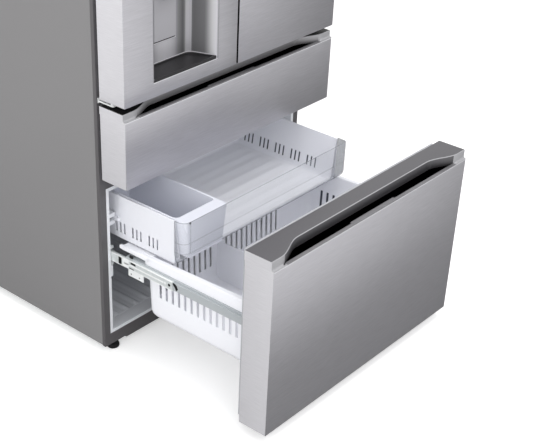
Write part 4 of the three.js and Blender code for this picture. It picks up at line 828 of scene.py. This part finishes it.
for side, sign in [("left", -1.0), ("right", 1.0)]:
    # Rolls, rib, rivet, latch and runner plate wear the lighter zinc as a painted highlight.
    member_parts = [
        (member_box("top_roll", sign, 409.0, member_front, roll_rear, 349.0, 352.0, 1.3), zinc_highlight),
        (member_box("low_roll", sign, 409.0, member_front, roll_rear, 322.0, 325.0, 1.3), zinc_highlight),
        (member_box("mid_rib", sign, 412.0, -100.0, 60.0, 334.0, 339.0, 0.9), zinc_highlight),
        (rivet(f"{side}_member_end_hole", sign, 413.0, 413.7, -122.0, middle_height, 4.6),
         black_acetal),
        (rivet(f"{side}_member_rivet", sign, 413.0, member_face, -106.0, middle_height, 4.0),
         zinc_highlight),
        (member_box("stop", sign, 413.0, 12.0, 32.0, 342.0, 348.4, 0.4), black_acetal),
        (member_box("low_stop", sign, 413.0, 19.0, 40.0, 325.4, 328.4, 0.4), black_acetal),
        (member_box("latch", sign, 412.8, 40.0, 66.0, 325.6, 348.6, 0.4), zinc_highlight),
        (member_box("damper", sign, 413.0, 70.0, 82.0, 325.6, 348.6, 0.4), black_acetal),
    ]
    for part, finish in member_parts:
        part.data.materials.append(finish)
        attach(part, f"{side}_slide_member")
    runner_parts = [
        (solid(f"{side}_runner_catch", catch_outline, sign * 410.4, sign * 411.5, 0.3, "x"),
         black_acetal),
        (side_box(f"{side}_runner_plate", sign, 399.6, 402.2, -8.0, 54.0, 290.0, 345.0, 1.0),
         zinc_highlight),
        (rivet(f"{side}_plate_rivet_1", sign, 402.2, 402.6, 8.0, 299.0, 2.2), black_acetal),
        (rivet(f"{side}_plate_rivet_2", sign, 402.2, 402.6, 42.0, 299.0, 2.2), black_acetal),
        (side_box(f"{side}_runner_key", sign, 402.4, 408.0, 30.0, 44.0, 356.0, 365.0, 2.0),
         black_acetal),
    ]
    for part, finish in runner_parts:
        part.data.materials.append(finish)
        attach(part, "freezer_drawer")
    # The liner swells out below each slide to carry its front bracket.
    boss = side_box(f"{side}_slide_boss", sign, 404.0, 416.2, 114.6, 168.0, 264.0, 303.0, 3.0)
    boss.data.materials.append(liner_skin)
    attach(boss, "cabinet")

# ------------------------------------------------------------------ rear screws
# Zinc-plated hexagon screws with a round flange hold the rear sheet and the grille
# below it to the folds of the case.

side_screws = [(x, z) for x in (-441.0, 441.0) for z in (64.0, 330.0, 640.0, 960.0, 1280.0, 1600.0)]
seam_screws = [(x, z) for x in (-330.0, -110.0, 110.0, 330.0) for z in (1741.0, 268.0)]
flange = (18, [(846.0, 6.0), (846.9, 6.0), (847.2, 5.6)])
hexagon = (6, [(847.0, 4.2), (848.5, 4.2), (848.9, 3.7)])
screw_points, screw_faces = [], []
for x, z in side_screws + seam_screws:
    for sides, rings in (flange, hexagon):
        start = sum(len(shell) for shell in screw_points)
        screw_points.append(round_rings("y", x, z, rings, sides).reshape(-1, 3))
        screw_faces += [[start + index for index in face] for face in shell_faces(3, sides, flip=True)]
screws = mesh_object("rear_screws", np.concatenate(screw_points), screw_faces)
screws.data.materials.append(zinc_plate)
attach(screws, "cabinet")

# ------------------------------------------------------------------ freezer floor
# Low ribs formed in the liner run front to back along the freezer's floor and stiffen
# the sheet.

floor_top, rib_height, rib_pitch, ribs_half = 78.6, 5.2, 44.0, 396.0
ribs_front, ribs_rear = 158.0, 560.0
x = np.linspace(-ribs_half, ribs_half, 181)[:, None]
y = np.linspace(ribs_front, ribs_rear, 64)[None, :]
fade = smooth_ramp(y, ribs_front, ribs_front + 18) * smooth_ramp(-y, -ribs_rear, -ribs_rear + 30)
z = floor_top + rib_height * fade * np.clip(np.cos(2 * np.pi * x / rib_pitch), 0, 1)
ribs = thicken(mesh_object("freezer_floor_ribs", place(x, y, z),
                           grid_faces(181, 64, closed=False)[:, ::-1]), 0.6)
ribs.data.materials.append(liner_skin)
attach(ribs, "cabinet")

# ------------------------------------------------------------------ freezer basket
# One deep white polystyrene moulding: drafted walls with cooling slots, a turned-over
# ledge round the top that lies on the runners, and a fixed divider.

_, ledge_half, basket_front, _, basket_low, basket_top = measure("freezer_basket")
basket_rear = basket_front + 428.0
basket_step = basket_top - 40.0
tub_half, tub_draft, front_draft, rear_draft = 385.0, 5.0, 6.0, 8.0
tub_round, foot_round, basket_wall = 28.0, 28.0, 2.5
ledge_fall = 15.0
divider_x = -78.0
slot_half, slot_pitch = 4.8, 24.5
slot_top, slot_low = 317.0, 250.0
rear_slot_top, rear_slot_low = 295.0, 214.0


def spread(low, high, pitch):
    """Places a pitch apart, centred between low and high."""
    count = int((high - low) // pitch)
    return (low + high - count * pitch) / 2 + pitch * np.arange(count + 1)


# Polished moulds leave the white satin, with a little shine on the ledges. The basket's white is lighter
# than the tray's, painted light that lifts its low walls out of the shade.
basket_white_lit = moulded("white_polystyrene_painted_light", "#EFF0F5", 0.36, 2.0, 0.04, 0.1)
# Dark tiles behind the slots of the right-hand walls are painted shade, so the slots look into shadow.
slot_shade = moulded("dark_grey_painted_slot_shade", "#3A3E47", 0.6)
side_slots = spread(basket_front + 71.5, basket_rear - 62.0, slot_pitch)
rear_slots = divider_x + slot_pitch * np.delete(np.arange(-12, 13), 12)
rear_slots = rear_slots[(rear_slots >= 60 - tub_half) & (rear_slots <= 228)]


def tub_level(z, inset=0.0):
    """Inner face of the basket's wall at height z: the half width and the ends follow
    the mould's draft in a straight line, and the inset draws all sides in."""
    fall = (basket_step - z) / (basket_step - basket_low)
    half = tub_half - basket_wall - tub_draft * fall - inset
    return (-half, half, basket_front + basket_wall + front_draft * fall + inset,
            basket_rear - basket_wall - rear_draft * fall - inset, z,
            max(tub_round - basket_wall - inset * 0.4, 4.0))


sweep = np.linspace(0, np.pi / 2, 5)
levels = [(-ledge_half + inset, ledge_half - inset, basket_front + inset, basket_rear - inset, z,
           tub_round - inset)
          for z, inset in [(basket_step, 0.0), (basket_top - 2, 0.0), (basket_top, 2.0)]]
levels += [tub_level(basket_top, -1.5), tub_level(basket_top - 2)]
levels += [tub_level(z) for z in (basket_step, slot_top, rear_slot_top, slot_low, rear_slot_low)]
levels += [tub_level(basket_low + basket_wall + foot_round * (1 - np.sin(t)),
                     foot_round * (1 - np.cos(t))) for t in sweep]
outer_levels, side_rows, rear_rows = 5, slice(6, 8), slice(7, 9)
stops_x = np.sort(np.concatenate([rear_slots - slot_half, rear_slots + slot_half]))
stops_y = np.sort(np.concatenate([side_slots - slot_half, side_slots + slot_half]))
grid = ring_grid(levels, stops_x, stops_y)
# The ledge falls towards the rear. The first level, its lower edge, stays level.
share = (grid[1:outer_levels, :, 1] - basket_front) / (basket_rear - basket_front)
grid[1:outer_levels, :, 2] -= ledge_fall * share
rows, columns = grid.shape[:2]
keep = np.ones((rows - 1, columns), bool)
# Corners have six points each, so the stops of each side start after 6, 12, 18 and 24.
right_start = 12 + stops_x.size
rear_start = 18 + stops_x.size + stops_y.size
left_start = 24 + 2 * stops_x.size + stops_y.size
side_columns, rear_columns = 2 * np.arange(side_slots.size), 2 * np.arange(rear_slots.size)
keep[side_rows, right_start + side_columns] = False
keep[side_rows, left_start + side_columns] = False
keep[rear_rows, rear_start + rear_columns] = False
faces = shell_faces(rows, columns, low_end=False, keep=keep)
basket = thicken(mesh_object("slotted_basket", placed(grid), faces), basket_wall)

divider = solid("basket_divider", box_outline(divider_x - 1.5, divider_x + 1.5, 163.0, 301.0),
                basket_front + 4, basket_rear - 12, 1.0)
# A tongue on each side carries the ledge along the rear half of the runner.
tongues = [solid(f"{side}_basket_tongue",
                 [(sign * 400, 366), (sign * 400, 378), (sign * 397.5, 380.5), (sign * 370, 380.5),
                  (sign * 368, 378), (sign * 368, 366)], basket_rear - 32, basket_rear + 76, 2.0)
           for side, sign in [("left", -1.0), ("right", 1.0)]]
tongues += [solid(f"{side}_tongue_tip", box_outline(sign * 400, sign * 391, 367, 379),
                  basket_rear + 74, basket_rear + 88, 2.0)
            for side, sign in [("left", -1.0), ("right", 1.0)]]
ledge_rib = solid("basket_ledge_rib", box_outline(-387.6, -385.8, 380.5, 383.4), -49.0, 8.0, 0.5)


def slot_backs(name, grid, row, next_row, columns, shift):
    """A thin dark tile behind every slot, painted shade: the slot's own quad, moved sideways into the
    wall.
    """
    tiles = np.stack([grid[row, columns], grid[row, columns + 1],
                      grid[next_row, columns + 1], grid[next_row, columns]], 1) + [shift, 0, 0]
    quads = np.arange(len(columns) * 4).reshape(-1, 4)
    backs = thicken(mesh_object(name, placed(tiles), quads), 0.6)
    backs.data.materials.append(slot_shade)
    return backs


basket_backs = slot_backs("basket_slot_backs", grid, side_rows.start, side_rows.stop,
                          right_start + side_columns, 1.4)
for part in [basket, divider, ledge_rib, *tongues]:
    part.data.materials.append(basket_white_lit)
for part in [basket, divider, ledge_rib, basket_backs, *tongues]:
    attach(part, "freezer_drawer")
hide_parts("freezer_basket")

# ------------------------------------------------------------------ sliding tray
# A shallow white moulding above the basket: an upright skirt hangs from the rim round
# a drafted inner wall, both slotted, over a floor with soft corrugations. Its front
# is open.

_, _, tray_front, tray_rear, tray_low, tray_top = measure("upper_tray")
tray_half, tray_wall, tray_slot_half = 376.0, 3.0, 3.0
tray_slot_top, tray_slot_low, tray_foot_round = 437.0, 403.0, 8.0
bin_side, tray_side = -176.0, 342.0
groups = spread(tray_front + 84, tray_rear - 70, 66.3)
tray_slots = (groups[:, None] + 16.3 * np.array([-1, 0, 1])).ravel()
stops_y = np.sort(np.concatenate([tray_slots - tray_slot_half, tray_slots + tray_slot_half]))


def tray_level(z, inset=0.0):
    """Inner face of the tray's wall at height z: it leans in by a straight draft, and
    the inset draws it in further."""
    lean = 4.0 + (tray_top - z) * 0.14 + inset
    return (-tray_half + lean, tray_half - lean, tray_front, tray_rear - lean, z, 16.0)


levels = [(-tray_half, tray_half, tray_front, tray_rear, z, 18.0)
          for z in (tray_low, tray_slot_low, tray_slot_top, tray_top - 1)]
levels.append((-tray_half + 1, tray_half - 1, tray_front, tray_rear - 1, tray_top, 17.0))
levels += [tray_level(z) for z in (tray_top, tray_slot_top, tray_slot_low)]
levels += [tray_level(tray_low + tray_wall + tray_foot_round * (1 - np.sin(t)),
                      tray_foot_round * (1 - np.cos(t))) for t in sweep]
grid = ring_grid(levels, (), stops_y, open_side="front")
rows, columns = grid.shape[:2]
keep = np.ones((rows - 1, columns - 1), bool)
# The slots pierce the skirt and the inner wall, on the right and then on the left.
skirt_row, inner_row = 1, 6
slot_columns = 2 * np.arange(tray_slots.size)
for start in (1, 1 + stops_y.size + 12):
    keep[np.ix_([skirt_row, inner_row], start + slot_columns)] = False
faces = shell_faces(rows, columns, low_end=False, closed=False, keep=keep)
# The tray's white is a greyer copy of the basket's: painted shade that tones down its lamp-lit walls.
tray_white_shaded = moulded("white_polystyrene_painted_shade", "#E6E7ED", 0.36, 2.0, 0.04, 0.1)
tray = thicken(mesh_object("upper_tray_shell", placed(grid), faces), 1.6)
tray_backs = slot_backs("tray_slot_backs", grid, inner_row, inner_row + 1, 1 + slot_columns, 1.0)

x = np.linspace(bin_side, tray_side, 64)[:, None]
y = np.linspace(tray_front + 2, tray_rear - 16, 120)[None, :]
edge_fade = (smooth_ramp(x, bin_side, bin_side + 26) * smooth_ramp(-x, -tray_side, -tray_side + 32)
             * smooth_ramp(y, tray_front + 2, tray_front + 26)
             * smooth_ramp(-y, -tray_rear + 16, -tray_rear + 60))
z = tray_low + tray_wall + 0.2 + 1.8 * edge_fade * (0.5 - 0.5 * np.cos(2 * np.pi * y / 44.0))
corrugations = thicken(mesh_object("tray_floor_corrugations", place(x, y, z),
                                   grid_faces(64, 120, closed=False)[:, ::-1]), 1.0)
rails = [solid(f"{side}_tray_runner", box_outline(sign * 375, sign * 383, 440, 452), 112.0, 292.0, 1.5)
         for side, sign in [("left", -1.0), ("right", 1.0)]]
corrugations.data.materials.append(basket_white_lit)
for part in [tray, *rails]:
    part.data.materials.append(tray_white_shaded)
for part in [tray, tray_backs, corrugations, *rails]:
    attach(part, "sliding_tray")
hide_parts("upper_tray")

# ------------------------------------------------------------------ ice bin
# A loose white tub in the tray's left end, with a broad front rim to lift it by.

bin_box = measure("ice_bin")
bin_top = bin_box[5]
bin_rim = np.array([4.7, 5.5, 40.7, 5.5])
bin_foot, bin_foot_round = 391.0, 12.0


def bin_level(z, radius, inset=0.0):
    """The bin's box drawn in at its left, right, front and rear, at one height."""
    left, right, front, rear = np.array(bin_box[:4]) + inset * np.array([1, -1, 1, -1])
    return left, right, front, rear, z, radius


levels = [bin_level(406.0, 7.0, np.array([16.7, 13.0, 1.7, 12.0])), bin_level(bin_top - 8.0, 7.0),
          bin_level(bin_top - 1.5, 7.0), bin_level(bin_top, 6.0, 1.5),
          bin_level(bin_top, 15.0, bin_rim), bin_level(bin_top - 1.5, 14.0, bin_rim + 1.5)]
levels += [bin_level(bin_foot + bin_foot_round * (1 - np.sin(t)), 14.0,
                     bin_rim + 7.5 + bin_foot_round * (1 - np.cos(t))) for t in sweep]
grid = ring_grid(levels)
faces = shell_faces(*grid.shape[:2], low_end=False)
ice_bin = thicken(mesh_object("ice_bin_tub", placed(grid), faces), 2.0)
# The bin's white is duller and bluer than the tray's: painted shade for the inside of the tub.
ice_bin.data.materials.append(moulded("white_polypropylene_painted_shade", "#DFE1EA", 0.4, 2.0, 0.04))
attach(ice_bin, "sliding_tray")
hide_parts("ice_bin")

# ------------------------------------------------------------------ tray front
# The tray's front is a clear styrene moulding, bent round both corners and swept back
# under the floor. Its cut edges gather light and look darker than the faces.

_, front_half, front_face, front_rear, _, _ = measure("tray_front")
seam_x = -350.0
bend = 26.0
# Height, set-back and draw-in, and the bend's radius of each level, from the floor up.
foot_levels = [(385.6, 34.0, 9.0, 8.0), (392.0, 26.0, 6.0, 12.0), (402.0, 14.0, 3.0, 18.0),
               (412.0, 5.0, 1.0, 23.0)]
wall_levels = [(z, 0.0, 0.0, bend) for z in (424.0, 425.8, 456.0, 457.8, 524.5)]
levels = [(-front_half + inset, front_half - inset, front_face + back, front_rear, z,
           min(radius, 36.0 - back)) for z, back, inset, radius in foot_levels + wall_levels]
grid = ring_grid(levels, [seam_x], open_side="rear")
# The right-hand corner is nearly square: its arc is pushed out towards the corner.
right_corner = slice(8, 14)
for ring, (x0, x1, y0, y1, z, radius) in zip(grid, levels):
    centre = (x1 - radius, y0 + radius)
    out = ring[right_corner, :2] - centre
    stretch = radius / np.abs(out).max(1, keepdims=True)
    ring[right_corner, :2] = centre + out * (1 + 0.8 * (stretch - 1))
rows, columns = grid.shape[:2]
faces = grid_faces(rows, columns, closed=False)
clear_front = thicken(mesh_object("clear_tray_front", placed(grid), faces.tolist()), 2.6, 1)
level_of, column_of = np.divmod(np.arange(len(faces)), columns - 1)
low_line, high_line, seam_column, end_column = 4, 6, 6, 10
finish = np.where((level_of == low_line) | (level_of == high_line), 2, 0)
finish[(column_of == seam_column) & (level_of > low_line)] = 2
# The right-hand return takes a darker copy of the clear styrene, painted shade where it is seen edge on.
finish[column_of >= end_column] = 3
clear_front.data.polygons.foreach_set("material_index", finish.astype(np.int32))
for clear in [clear_plastic("clear_styrene_panel", "#DDE0E8", "#B4B8BF", 0.08, 0.34),
              clear_plastic("clear_styrene_edge", "#84888E", "#6C7076", 0.75, 0.9),
              clear_plastic("clear_styrene_rib", "#B2B5BB", "#8A8E94", 0.25, 0.6),
              clear_plastic("clear_styrene_end_painted_shade", "#9A9DA1", "#85888C", 0.55, 0.75)]:
    clear_front.data.materials.append(clear)
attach(clear_front, "sliding_tray")
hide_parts("tray_front")
bumper = solid("tray_front_bumper", box_outline(-353.8, -349.2, 518.0, 524.6),
               front_face + 0.1, front_face + 4.2, 1.0)
bumper.data.materials.append(black_acetal)
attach(bumper, "sliding_tray")
